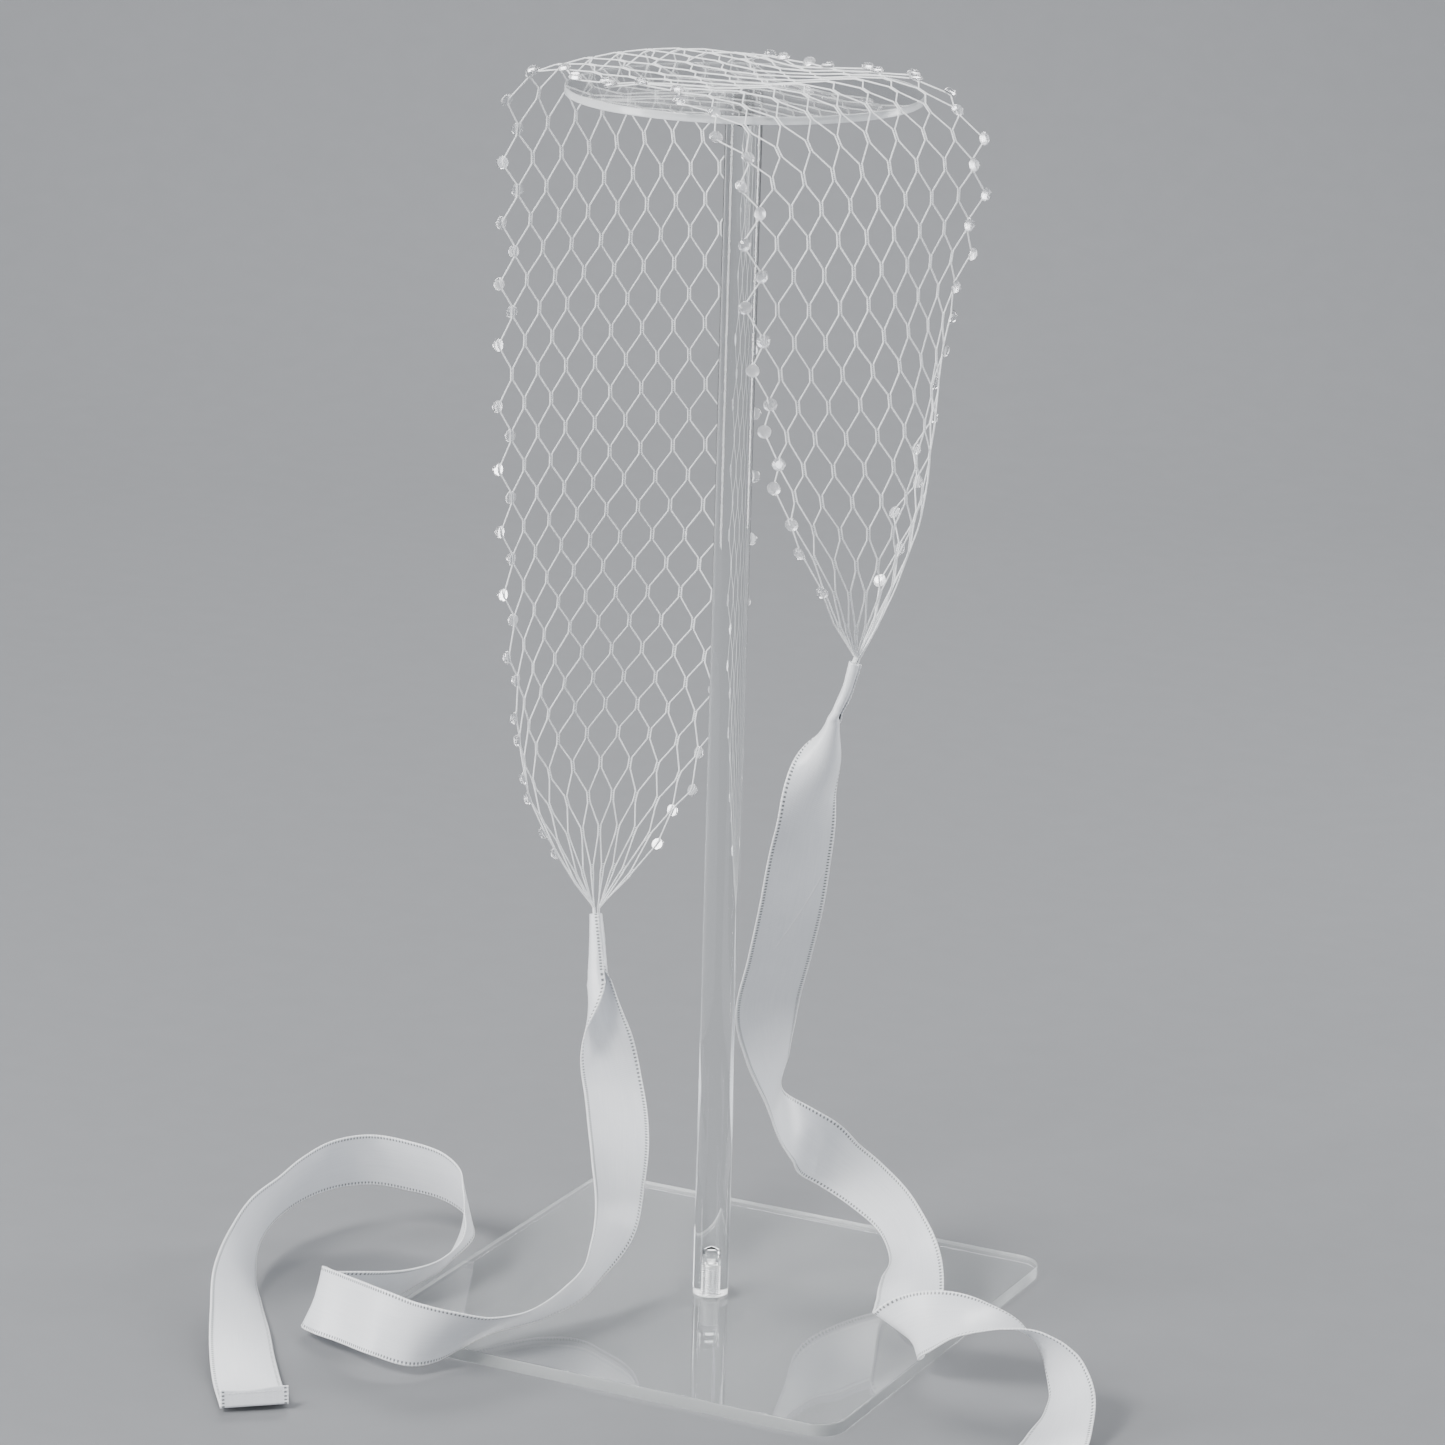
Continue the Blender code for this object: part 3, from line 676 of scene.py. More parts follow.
def make_polished_edge(name, colour, passing):
    """A cut acrylic edge: bright, with fine streaks from sawing and flame polish."""
    material, tree, shader = new_material(name)
    place = tree.nodes.new("ShaderNodeTexCoord")
    stretch = tree.nodes.new("ShaderNodeMapping")
    stretch.inputs["Scale"].default_value = (90.0, 90.0, 400.0)
    tree.links.new(place.outputs["Object"], stretch.inputs["Vector"])
    streaks = tree.nodes.new("ShaderNodeTexNoise")
    streaks.inputs["Scale"].default_value = 1.0
    streaks.inputs["Detail"].default_value = 3.0
    tree.links.new(stretch.outputs["Vector"], streaks.inputs["Vector"])
    tone = mix_colours(tree, streaks.outputs["Fac"], tuple(0.92 * part for part in colour), colour)
    tree.links.new(tone, shader.inputs["Base Color"])
    shader.inputs["Transmission Weight"].default_value = passing
    shader.inputs["IOR"].default_value = 1.49
    rough = add_math(tree, "ADD", 0.06, add_math(tree, "MULTIPLY", streaks.outputs["Fac"], 0.16))
    tree.links.new(rough, shader.inputs["Roughness"])
    add_bump(tree, shader, streaks.outputs["Fac"], 0.03, 0.0001)
    thin_shadow(tree, shader, 0.3)
    return material


def make_frosted(name, colour, patches):
    material, tree, shader = new_material(name)
    cloud = add_group(tree, patches)
    tree.links.new(mix_colours(tree, cloud.outputs["Patches"], tuple(0.85 * c for c in colour), colour),
                   shader.inputs["Base Color"])
    shader.inputs["Roughness"].default_value = 0.5
    shader.inputs["Transmission Weight"].default_value = 0.45
    shader.inputs["IOR"].default_value = 1.49
    return material


def make_metal(name, low, high, low_rough, metallic, patches):
    material, tree, shader = new_material(name)
    cloud = add_group(tree, patches)
    tree.links.new(mix_colours(tree, cloud.outputs["Patches"], low, high), shader.inputs["Base Color"])
    shader.inputs["Metallic"].default_value = metallic
    rough = add_math(tree, "ADD", low_rough, add_math(tree, "MULTIPLY", cloud.outputs["Patches"], 0.2))
    tree.links.new(rough, shader.inputs["Roughness"])
    return material


def make_plain_floor(name, low, high, patches):
    material, tree, shader = new_material(name)
    cloud = add_group(tree, patches)
    tree.links.new(mix_colours(tree, cloud.outputs["Patches"], low, high), shader.inputs["Base Color"])
    shader.inputs["Roughness"].default_value = 0.85
    return material


# The stand
def give_edge_material(item, edge, picks):
    """Use the second material on the faces whose middle the test picks."""
    item.data.materials.append(edge)
    for face in item.data.polygons:
        middle = face.center / MM
        if picks(middle, face.normal):
            face.material_index = 1


def rounded_square(width, corner_radius, height, count=TURNED_STEPS):
    loop = []
    corner_steps = count // 4
    reach = width / 2 - corner_radius
    for corner in range(4):
        corner_x = reach * (1 if corner in (0, 3) else -1)
        corner_y = reach * (1 if corner in (0, 1) else -1)
        for step in range(corner_steps):
            turn = 0.5 * math.pi * (corner + step / (corner_steps - 1))
            loop.append(Vector((
                corner_x + corner_radius * math.cos(turn),
                corner_y + corner_radius * math.sin(turn),
                height,
            )))
    return loop


def make_stand_base(clear, edge):
    """The square base, its corners and edges rounded, with the socket for the screw."""
    loops = []
    for direction, height in ((-1, 0.0), (1, BASE_THICKNESS)):
        profile = rounded(BASE_WIDTH / 2, 1, height, direction)
        if direction == -1:
            profile = profile[::-1]
        for reach, level in profile:
            inset = BASE_WIDTH / 2 - reach
            loops.append(rounded_square(2 * reach, BASE_CORNER_RADIUS - inset, level))
    for radius, level in ((SOCKET_RADIUS, BASE_THICKNESS), (SOCKET_RADIUS, BASE_THICKNESS - BASE_SOCKET_DEPTH)):
        loops.append([
            Vector((radius * math.cos(math.tau * step / TURNED_STEPS), radius * math.sin(math.tau * step / TURNED_STEPS), level))
            for step in range(TURNED_STEPS)
        ])
    points = [point for loop in loops for point in loop]
    faces = []
    for level in range(len(loops) - 1):
        low = level * TURNED_STEPS
        for step in range(TURNED_STEPS):
            after = (step + 1) % TURNED_STEPS
            faces.append((low + step, low + after, low + TURNED_STEPS + after, low + TURNED_STEPS + step))
    faces.append(tuple(reversed(range(TURNED_STEPS))))
    top = (len(loops) - 1) * TURNED_STEPS
    faces.append(tuple(top + step for step in range(TURNED_STEPS)))
    item = face_outwards(add_mesh("clear_base", points, faces, clear, smooth=False))
    give_edge_material(item, edge, lambda middle, normal: abs(normal.z) < 0.9 and middle.xy.length > 20.0)
    return shade_by_face(item)


def make_stand_rod(clear, frosted):
    """The rod, with a tapped hole that the screw's thread fills and a plain one at the top."""
    radius = ROD_DIAMETER / 2
    screw_top = BASE_THICKNESS - BASE_SOCKET_DEPTH + FIT_GAP + STUD_LENGTH
    hole_end = ROD_BOTTOM + SOCKET_DEPTH
    profile = [(0.0, hole_end + SOCKET_CONE), (TAPPED_END_RADIUS, hole_end)]
    profile += [(TAPPED_END_RADIUS, screw_top + 0.1), (TAPPED_RADIUS, screw_top - 0.1)]
    profile += [(TAPPED_RADIUS, ROD_BOTTOM + 0.3), (SOCKET_RADIUS, ROD_BOTTOM)]
    profile += rounded(radius, 1, ROD_BOTTOM, -1)[::-1]
    profile += rounded(radius, 1, ROD_TOP, 1)
    profile += [(SOCKET_RADIUS, ROD_TOP), (SOCKET_RADIUS, ROD_TOP - TOP_SOCKET_DEPTH)]
    profile += [(0.0, ROD_TOP - TOP_SOCKET_DEPTH - SOCKET_CONE)]
    item = spun_shape("clear_rod", profile, clear)
    give_edge_material(item, frosted, lambda middle, normal: middle.z < ROD_BOTTOM + 0.5 and middle.xy.length > SOCKET_RADIUS + 0.1)
    return item


def make_stand_disc(clear, edge):
    radius = DISC_DIAMETER / 2
    low = STAND_HEIGHT - DISC_THICKNESS
    profile = [(0.0, low + DISC_SOCKET_DEPTH), (SOCKET_RADIUS, low + DISC_SOCKET_DEPTH), (SOCKET_RADIUS, low)]
    profile += rounded(radius, 1, low, -1)[::-1]
    profile += rounded(radius, 1, STAND_HEIGHT, 1)
    profile += [(0.0, STAND_HEIGHT)]
    item = spun_shape("clear_disc", profile, clear, 2 * TURNED_STEPS)
    give_edge_material(item, edge, lambda middle, normal: middle.xy.length > radius - 0.45)
    return item


def make_stand_screw(steel):
    """The headless screw with its helical thread."""
    low = BASE_THICKNESS - BASE_SOCKET_DEPTH + FIT_GAP
    around = 48
    levels = int(STUD_LENGTH / STUD_PITCH * 8)
    points = []
    for level in range(levels + 1):
        height = STUD_LENGTH * level / levels
        for step in range(around):
            turn = math.tau * step / around
            phase = (height / STUD_PITCH - step / around) % 1.0
            crest = 1.0 - abs(2.0 * phase - 1.0)
            taper = min(1.0, height / 0.8, (STUD_LENGTH - height) / 0.8)
            radius = STUD_CORE_RADIUS + (STUD_RADIUS - STUD_CORE_RADIUS) * crest * taper
            points.append(Vector((radius * math.cos(turn), radius * math.sin(turn), low + height)))
    faces = []
    for level in range(levels):
        first = level * around
        for step in range(around):
            after = (step + 1) % around
            faces.append((first + step, first + after, first + around + after, first + around + step))
    faces.append(tuple(reversed(range(around))))
    faces.append(tuple(levels * around + step for step in range(around)))
    item = face_outwards(add_mesh("screw", points, faces, steel, smooth=False))
    return item


def make_stand_peg(clear):
    low = STAND_HEIGHT - DISC_THICKNESS + DISC_SOCKET_DEPTH - FIT_GAP - PEG_LENGTH
    profile = [(0.0, low)]
    profile += rounded(PEG_RADIUS, 1, low, -1)[::-1]
    profile += rounded(PEG_RADIUS, 1, low + PEG_LENGTH, 1, 0.2)
    profile += [(0.0, low + PEG_LENGTH)]
    return spun_shape("clear_peg", profile, clear, 48)


# The net
def net_frame(row, share):
    """Where a knot lies, with the directions along and across the net and the cell's width."""
    centre = net_point(row, share)
    along = (net_point(row + 0.1, share) - net_point(row - 0.1, share)).normalized()
    low = max(share - 0.02, 0.0)
    high = min(share + 0.02, 1.0)
    across = (net_point(row, high) - net_point(row, low)) / (high - low)
    spacing = across.length / NET_THREADS
    across = (across - along * across.dot(along)).normalized()
    return centre, along, across, spacing


def uneven(seed, amount):
    """A small fixed unevenness, the same on each run."""
    return amount * noise.noise_vector(Vector((0.37 * seed, 1.93, 0.71 * seed)))


def neck_frame(collar):
    """The top of a collar, the way up from it and two directions across."""
    top = Vector(collar[0][:3])
    up = (top - Vector(collar[-1][:3])).normalized()
    side = up.orthogonal().normalized()
    return top, up, side, up.cross(side)


def gather_point(collar, towards, height, radius):
    """A place in the gathered bundle, on the side of the bundle that its thread comes from."""
    top, up, side, other = neck_frame(collar)
    offset = towards - top
    turn = math.atan2(offset.dot(other), offset.dot(side))
    return top + height * up + radius * (math.cos(turn) * side + math.sin(turn) * other)


def thread_knots(index):
    """The knots that one thread passes: row, column and the side that it passes on."""
    knots = []
    for row in range(-END_ROW, END_ROW + 1):
        on_left = (index + row) % 2 == 1
        column = index if on_left else index + 1
        knots.append((row, column, 1.0 if on_left else -1.0))
    return knots


def thread_path(index):
    path = []
    for row, column, side in thread_knots(index):
        centre, along, across, spacing = net_frame(row, column / NET_THREADS)
        centre = centre + uneven(31 * row + 7 * column, 0.25)
        alone = column in (0, NET_THREADS)
        apart = 0.0 if alone else side * min(0.5 * KNOT_GAP, 0.38 * spacing)
        half = (0.2 if alone else 0.5) * KNOT_LENGTH
        tight = abs(row) - (END_ROW - 2)
        if tight > 0:
            half *= 1.0 - 0.45 * tight
        start = centre + apart * across - half * along
        end = centre + apart * across + half * along
        middle = centre + 0.86 * apart * across
        path += [start, middle, end]
    radius = BUNDLE_RADIUS * (0.55 if index % 3 == 1 else 1.0)
    first = [gather_point(LONG_COLLAR, path[3], height, radius) for height in (-7.0, -3.0, 0.0, 2.0)]
    last = [gather_point(SHORT_COLLAR, path[-4], height, radius) for height in (2.0, 0.0, -3.0, -7.0)]
    return first + path[3:-3] + last


def make_net(material):
    """Every thread of the net, and the small rungs that join them at the knots."""
    shape = ([], [], [])
    length = 0.0
    for index in range(NET_THREADS):
        path = thread_path(index)
        length += sum((after - before).length for before, after in zip(path, path[1:]))
        tube_into(shape, path, THREAD_RADIUS, THREAD_SIDES)
    for row in range(-END_ROW + 1, END_ROW):
        for column in range(1, NET_THREADS):
            if (column + row) % 2 == 0:
                continue
            centre, along, across, spacing = net_frame(row, column / NET_THREADS)
            centre = centre + uneven(31 * row + 7 * column, 0.25)
            apart = min(0.5 * KNOT_GAP, 0.38 * spacing) * 0.95
            for rung in range(RUNGS_PER_KNOT):
                place = KNOT_LENGTH * ((rung + 0.5) / RUNGS_PER_KNOT - 0.5) * 0.9
                middle = centre + place * along
                tube_into(shape, [middle - apart * across, middle + apart * across], RUNG_RADIUS, 4)
    points, faces, uvs = shape
    item = add_mesh("veil_net", points, faces, material, uvs=uvs)
    return item, length


# The crystals
def add_crystal(points, faces, foil, middle, outwards, turned):
    """A round crystal: a flat foil back, a low rim, a ring of facets and a flat top."""
    side = outwards.orthogonal().normalized()
    other = outwards.cross(side)
    first = len(points)
    last_level = len(CRYSTAL_PROFILE) - 1
    for level, (radius, height) in enumerate(CRYSTAL_PROFILE):
        offset = 0.5 if level == last_level else 0.0
        for step in range(CRYSTAL_FACETS):
            turn = turned + math.tau * (step + offset) / CRYSTAL_FACETS
            flat = math.cos(turn) * side + math.sin(turn) * other
            points.append(middle + (CRYSTAL_LIFT + height) * outwards + radius * flat)
    foil.append(len(faces))
    faces.append(tuple(first + step for step in reversed(range(CRYSTAL_FACETS))))
    for level in range(last_level):
        low = first + level * CRYSTAL_FACETS
        high = low + CRYSTAL_FACETS
        for step in range(CRYSTAL_FACETS):
            after = (step + 1) % CRYSTAL_FACETS
            if level < last_level - 1:
                faces.append((low + step, low + after, high + after, high + step))
            else:
                faces.append((low + step, low + after, high + step))
                faces.append((low + after, high + after, high + step))
    top = first + last_level * CRYSTAL_FACETS
    faces.append(tuple(top + step for step in range(CRYSTAL_FACETS)))


def crystal_places():
    """One crystal at each row of both edges, on the outer knot and the next one in by turns."""
    for row in range(-LAST_CRYSTAL_ROW, LAST_CRYSTAL_ROW + 1):
        odd = row % 2 == 1
        yield row, 0 if odd else 1
        yield row, NET_THREADS - 1 if odd else NET_THREADS


def make_crystals(glass, foil_look):
    points = []
    faces = []
    foil = []
    for count, (row, column) in enumerate(crystal_places()):
        if (row, column) == LOST_CRYSTAL:
            continue
        centre, along, across, spacing = net_frame(row, column / NET_THREADS)
        centre = centre + uneven(31 * row + 7 * column, 0.25)
        outwards = along.cross(across) + uneven(5 * count, 0.35)
        hub = Vector((0.0, 0.0, min(centre.z, CRYSTAL_HUB_TOP)))
        if outwards.dot(centre - hub) < 0.0:
            outwards.negate()
        add_crystal(points, faces, foil, centre, outwards.normalized(), 0.7 * count)
    item = add_mesh("edge_crystals", points, faces, glass, smooth=False)
    item.data.materials.append(foil_look)
    for face in foil:
        item.data.polygons[face].material_index = 1
    return item


# The ribbons
def ribbon_frames(stations):
    places = [0.0]
    for before, after in zip(stations, stations[1:]):
        places.append(places[-1] + (Vector(after[:3]) - Vector(before[:3])).length)
    middles = [Vector(station[:3]) for station in stations]
    across = []
    for station in stations:
        heading = math.radians(station[3])
        rise = math.radians(station[4])
        across.append(Vector((
            math.cos(rise) * math.cos(heading),
            math.cos(rise) * math.sin(heading),
            math.sin(rise),
        )))
    return places, middles, across


def rolled_line(centre, back, line, radius, outer_turn):
    """The points across the ribbon where it is rolled, its full width wound on a spiral.

    The outer edge lies outer_turn round from the back of the roll.
    """
    whole = RIBBON_WIDTH / radius
    row = []
    for share in SATIN_COLUMNS:
        turn = outer_turn - whole * (0.5 - share)
        layer = radius + WOUND_PITCH * (turn - outer_turn) / math.tau
        row.append(centre + layer * (math.cos(turn) * back + math.sin(turn) * line))
    return row


def ribbon_row(frames, roll, place):
    """The points across a ribbon at one place, with its way ahead and its outward side."""
    places, middles, across = frames
    middle = smooth_between(places, middles, place)
    ahead = smooth_between(places, middles, place + 0.5) - smooth_between(places, middles, place - 0.5)
    ahead.normalize()
    line = smooth_between(places, across, place)
    line = (line - ahead * line.dot(ahead)).normalized()
    out = ahead.cross(line)
    roll_length, side, start_width = roll
    if place < roll_length:
        opened = smooth_step((place + ROLL_LEAD) / (roll_length + ROLL_LEAD))
        bend = math.radians(ROLL_DEG) * (1.0 - opened)
        width = start_width + (RIBBON_WIDTH - start_width) * smooth_step(2.2 * place / roll_length)
        if bend > 0.02:
            radius = width / bend
            centre = middle + radius * side * out
            row = rolled_line(centre, -side * out, line, radius, 0.5 * RIBBON_WIDTH / radius)
            return row, ahead, out
    return [middle + share * RIBBON_WIDTH * line for share in SATIN_COLUMNS], ahead, out


def wound_row(collar, frames, roll, share, top_turn_deg):
    """The points across the ribbon where it is wound about the net, share 0 at the top."""
    _, _, line = ribbon_frames_at_start(frames)
    foot_bend = math.radians(ROLL_DEG) * (1.0 - smooth_step(ROLL_LEAD / (roll[0] + ROLL_LEAD)))
    foot_radius = roll[2] / foot_bend
    middle, radius = collar_place(collar, share)
    up = (Vector(collar[0][:3]) - Vector(collar[-1][:3])).normalized()
    radius = min(radius - 0.2, foot_radius) if share < 1.0 else foot_radius
    line = (line - up * line.dot(up)).normalized()
    back = -roll[1] * (-up).cross(line)
    foot_turn = 0.5 * RIBBON_WIDTH / foot_radius
    outer_turn = math.radians(top_turn_deg) + (foot_turn - math.radians(top_turn_deg)) * smooth_step(share)
    row = rolled_line(middle, back, line, radius, outer_turn)
    wrinkled = []
    for index, point in enumerate(row):
        away = (point - middle).normalized()
        wrinkle = 0.12 * math.sin(2.1 * index + 8.0 * share) * math.sin(math.pi * share)
        wrinkled.append(point + wrinkle * away)
    return wrinkled


def ribbon_frames_at_start(frames):
    places, middles, across = frames
    ahead = (smooth_between(places, middles, 0.5) - middles[0]).normalized()
    line = (across[0] - ahead * across[0].dot(ahead)).normalized()
    return middles[0], ahead, line


def hem_shift(ahead, lean_deg, share):
    """How far a place on the turned-up hem lies from the ribbon's end, and its depth there."""
    lean = math.radians(lean_deg)
    up = Vector((0.0, 0.0, 1.0))
    turned = math.pi - lean
    bent = HEM_FOLD * turned
    level = share * (bent + HEM_DEPTH)
    turn = min(level, bent) / HEM_FOLD
    shift = HEM_FOLD * (math.sin(turn) * ahead + (1.0 - math.cos(turn)) * up)
    if level > bent:
        shift += (level - bent) * (math.sin(lean) * up - math.cos(lean) * ahead)
    return shift, level


def make_ribbon(name, stations, roll, collar, top_turn_deg, lean_deg, material):
    """A satin strip from its end wound about the net to its hem, where it turns up over itself."""
    frames = ribbon_frames(stations)
    end = frames[0][-1]
    count = round(end / SATIN_STEP)
    rows = []
    coordinates = []
    seam = []
    wound_length = (Vector(collar[0][:3]) - Vector(collar[-1][:3])).length
    levels = 18
    for level in range(levels):
        share = level / levels
        row = wound_row(collar, frames, roll, share, top_turn_deg)
        if level == 0:
            down = (Vector(collar[-1][:3]) - Vector(collar[0][:3])).normalized()
            row = [point + 0.5 * abs(math.sin(1.7 * index)) * down for index, point in enumerate(row)]
        rows.append(row)
        coordinates.append([(column + 0.5, -wound_length * (1.0 - share)) for column in SATIN_COLUMNS])
        seam.append((row[-1], (row[-1] - collar_place(collar, share)[0]).normalized()))
    for step in range(1, count + 1):
        place = end * step / count
        row, ahead, out = ribbon_row(frames, roll, place)
        rows.append(lift_clear(row, SATIN_THICKNESS))
        coordinates.append([(share + 0.5, place) for share in SATIN_COLUMNS])
    fold_row = rows[-1]
    for distance in range(1, 13):
        shift, level = hem_shift(ahead, lean_deg, distance / 12)
        wave = 0.5 * math.sin(5.0 * distance / 12) * math.radians(lean_deg)
        rows.append([
            point + shift * (1.0 + 0.12 * math.sin(6.0 * share + 0.8) * wave)
            for point, share in zip(fold_row, SATIN_COLUMNS)
        ])
        coordinates.append([(share + 0.5, end + level) for share in SATIN_COLUMNS])
    thick = [SELVEDGE_THICKNESS if abs(share) > 0.46 else SATIN_THICKNESS for share in SATIN_COLUMNS]
    item = thin_wall(name, rows, thick, material, coordinates)
    return item, wound_length + end + HEM_DEPTH, seam


def make_stitches(name, starts, ends, material, radius=0.16):
    """Short straight stitches as one mesh."""
    shape = ([], [], [])
    for start, end in zip(starts, ends):
        tube_into(shape, [start, 0.5 * (start + end), end], radius, 5, capped=True)
    points, faces, uvs = shape
    return add_mesh(name, points, faces, material, uvs=uvs)


def hem_stitches(name, stations, roll, lean_deg, material):
    """The line of stitches along a hem, just under its free edge."""
    frames = ribbon_frames(stations)
    row, ahead, out = ribbon_row(frames, roll, frames[0][-1])
    row = lift_clear(row, SATIN_THICKNESS)
    shift, _ = hem_shift(ahead, lean_deg, 0.8)
    lean = math.radians(lean_deg)
    outwards = math.sin(lean) * ahead + math.cos(lean) * Vector((0.0, 0.0, 1.0))
    shift += (0.5 * SATIN_THICKNESS + 0.05) * outwards
    left = row[1] + shift
    right = row[-2] + shift
    count = 13
    starts = [left.lerp(right, (step + 0.2) / count) for step in range(count)]
    ends = [left.lerp(right, (step + 0.8) / count) for step in range(count)]
    return make_stitches(name, starts, ends, material, 0.12)


def collar_place(collar, share):
    places = [0.0, 0.5, 1.0]
    middle = smooth_between(places, [Vector(station[:3]) for station in collar], share)
    radius = smooth_between(places, [station[3] for station in collar], share)
    return middle, radius


def collar_stitches(name, seam, material):
    """Small slanted stitches across a collar's seam."""
    starts = []
    ends = []
    for level in range(1, len(seam) - 1, 2):
        place, out = seam[level]
        after = seam[level + 1][0]
        down = (after - place).normalized()
        side = out.cross(down).normalized()
        lifted = place + 0.22 * out
        starts.append(lifted - 0.5 * side - 0.25 * down)
        ends.append(lifted + 0.5 * side + 0.25 * down)
    return make_stitches(name, starts, ends, material, 0.13)


# Camera, lights and floor
def make_camera():
    turn = Matrix.Rotation(math.radians(PART_TURN_DEG), 3, "Z")
    ahead = Vector((
        math.sin(CAMERA_YAW) * math.cos(CAMERA_PITCH),
        math.cos(CAMERA_YAW) * math.cos(CAMERA_PITCH),
        -math.sin(CAMERA_PITCH),
    ))
    right = Vector((math.cos(CAMERA_YAW), -math.sin(CAMERA_YAW), 0.0))
    up = right.cross(ahead)
    turned_right = math.cos(CAMERA_ROLL) * right + math.sin(CAMERA_ROLL) * up
    turned_up = math.cos(CAMERA_ROLL) * up - math.sin(CAMERA_ROLL) * right
    columns = [turn @ turned_right, turn @ turned_up, turn @ -ahead]
    place = turn @ Vector((0.0, -CAMERA_DISTANCE, CAMERA_HEIGHT)) + Vector((0.0, 0.0, BASE_THICKNESS))
    matrix = Matrix.Identity(4)
    for index, column in enumerate(columns):
        for line in range(3):
            matrix[line][index] = column[line]
    for line in range(3):
        matrix[line][3] = MM * place[line]
    lens = bpy.data.cameras.new("photo_camera")
    lens.sensor_fit = "HORIZONTAL"
    lens.sensor_width = SENSOR_WIDTH
    lens.lens = SENSOR_WIDTH * FOCAL_PIXELS / PHOTO_WIDTH
    lens.clip_end = 30.0
    camera = bpy.data.objects.new("photo_camera", lens)
    bpy.context.scene.collection.objects.link(camera)
    camera.matrix_world = matrix
    bpy.context.scene.camera = camera
    return camera


def add_light(name, place, target, size, power, colour):
    lamp = bpy.data.lights.new(name, "AREA")
    lamp.shape = "RECTANGLE"
    lamp.size, lamp.size_y = size
    lamp.energy = power
    lamp.color = colour
    item = bpy.data.objects.new(name, lamp)
    bpy.context.scene.collection.objects.link(item)
    item.location = place
    item.rotation_euler = (Vector(target) - Vector(place)).to_track_quat("-Z", "Y").to_euler()


def make_floor(material):
    """A wide floor that curves up into a backdrop far behind the stand."""
    away = Matrix.Rotation(math.radians(PART_TURN_DEG), 3, "Z")
    points = []
    profile = [(-20000.0, 0.0), (1400.0, 0.0)]
    for step in range(1, 13):
        turn = 0.5 * math.pi * step / 12
        profile.append((1400.0 + 900.0 * math.sin(turn), 900.0 * (1.0 - math.cos(turn))))
    profile.append((2300.0, 4500.0))
    for across in (-20000.0, 20000.0):
        for distance, height in profile:
            points.append(away @ Vector((across, distance, 0.0)) + Vector((0.0, 0.0, height - 0.25)))
    count = len(profile)
    faces = [(index, count + index, count + index + 1, index + 1) for index in range(count - 1)]
    item = add_mesh("floor", points, faces, material)
    return item


def make_world():
    world = bpy.data.worlds.new("soft_room")
    world.use_nodes = True
    sky = world.node_tree.nodes["Background"]
    sky.inputs["Color"].default_value = (0.86, 0.9, 0.96, 1.0)
    sky.inputs["Strength"].default_value = 0.6
    bpy.context.scene.world = world


def settle(item, slot_name, *nodes):
    """Let a piece ride with the part, in place of the nodes that it stands for."""
    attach(item, "root")
    if nodes:
        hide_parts(*nodes)
    return item


def build_stand(patches):
    clear = make_clear("clear_acrylic_look", (0.985, 0.995, 0.995), 1.49, 0.0, 0.04, 0.15, patches)
    base_edge = make_polished_edge("cut_base_edge", (0.94, 0.97, 0.98), 0.6)
    disc_edge = make_polished_edge("cut_disc_edge", (0.84, 0.86, 0.88), 0.3)
    frosted = make_frosted("frosted_acrylic", (0.92, 0.94, 0.95), patches)
    steel = make_metal("threaded_steel", (0.80, 0.81, 0.82), (0.93, 0.93, 0.94), 0.2, 0.9, patches)
    settle(make_stand_base(clear, base_edge), "clear_acrylic", "stand_base")
    settle(make_stand_rod(clear, frosted), "clear_acrylic", "stand_rod")
    settle(make_stand_disc(clear, disc_edge), "clear_acrylic", "stand_disc")
    settle(make_stand_peg(clear), "clear_acrylic", "stand_peg")
    settle(make_stand_screw(steel), "steel", "stand_stud")


def build_net(patches):
    thread = make_thread("net_thread_look", (0.84, 0.86, 0.88), (0.98, 0.98, 0.98), 0.9)
    crystal = make_clear("crystal_look", (0.99, 0.99, 1.0), 1.56, 0.0, 0.02, 0.1, patches)
    foil = make_metal("silver_foil", (0.86, 0.87, 0.89), (0.97, 0.97, 0.98), 0.16, 0.82, patches)
    net, length = make_net(thread)
    settle(net, "net_thread", "net_long_drop", "net_crown", "net_short_drop")
    settle(make_crystals(crystal, foil), "clear_acrylic")


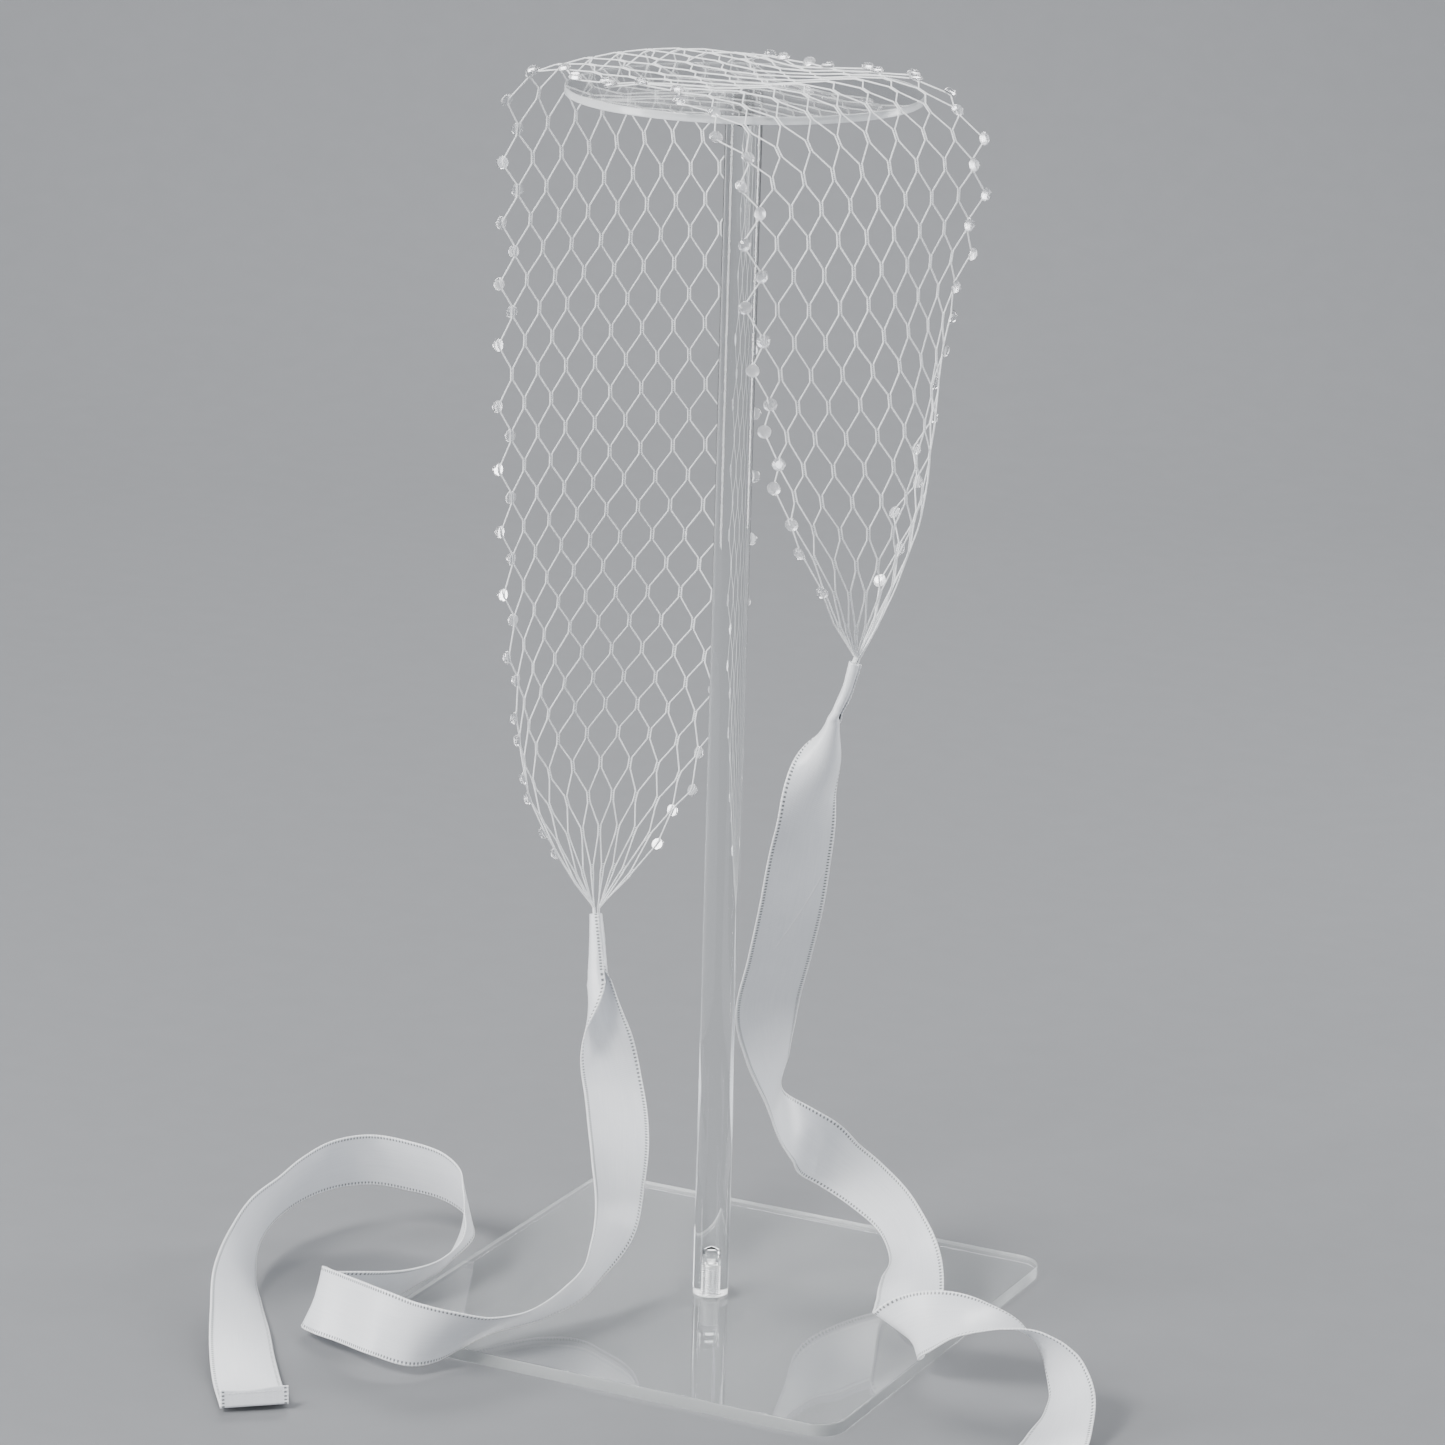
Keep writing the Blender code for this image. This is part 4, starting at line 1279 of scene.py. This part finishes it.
def build_ribbons(patches):
    weave = make_satin_group()
    plain_satin = make_satin("satin_ribbon_look", patches, weave)
    creased_satin = make_satin("creased_satin_look", patches, weave, CREASE)
    sewing = make_thread("sewing_thread_look", (0.86, 0.87, 0.89), (0.97, 0.97, 0.98), 0.5)
    for side, stations, roll, collar, top_turn_deg, lean_deg, satin, nodes in (
        ("long", LONG_RIBBON, LONG_ROLL, LONG_COLLAR, 130.0, LONG_HEM_LEAN_DEG, plain_satin,
         ("long_ribbon_collar", "long_ribbon_fall", "long_ribbon_curl", "long_ribbon_arch", "long_ribbon_hem")),
        ("short", SHORT_RIBBON, SHORT_ROLL, SHORT_COLLAR, 270.0, SHORT_HEM_LEAN_DEG, creased_satin,
         ("short_ribbon_collar", "short_ribbon_fall", "short_ribbon_turn", "short_ribbon_tail", "short_ribbon_hem")),
    ):
        ribbon, length, seam = make_ribbon(side + "_ribbon", stations, roll, collar, top_turn_deg, lean_deg, satin)
        settle(ribbon, "satin_ribbon", *nodes)
        hem = settle(hem_stitches(side + "_ribbon_hem_stitches", stations, roll, lean_deg, sewing), "net_thread")
        seam_line = settle(collar_stitches(side + "_ribbon_seam_stitches", seam, sewing), "net_thread")


def main():
    patches = make_patches_group()
    make_floor(make_plain_floor("pale_floor", (0.19, 0.195, 0.205), (0.205, 0.21, 0.22), patches))
    build_stand(patches)
    build_net(patches)
    build_ribbons(patches)
    make_camera()
    make_world()
    add_light("key", (-0.8, -2.1, 2.1), (0.0, 0.0, 0.25), (0.8, 0.8), 92.0, (1.0, 0.99, 0.97))
    add_light("fill", (2.2, -1.2, 0.9), (0.0, 0.0, 0.25), (1.2, 1.2), 18.0, (0.95, 0.97, 1.0))
    add_light("back", (-0.9, 1.9, 1.7), (0.0, 0.0, 0.3), (1.6, 0.8), 50.0, (1.0, 1.0, 1.0))
    add_light("left_side", (-1.15, -1.0, 0.5), (0.0, 0.0, 0.3), (0.45, 1.4), 28.0, (1.0, 1.0, 1.0))
    add_light("right_side", (1.05, 1.1, 0.5), (0.0, 0.0, 0.3), (0.35, 1.4), 26.0, (1.0, 1.0, 1.0))


main()
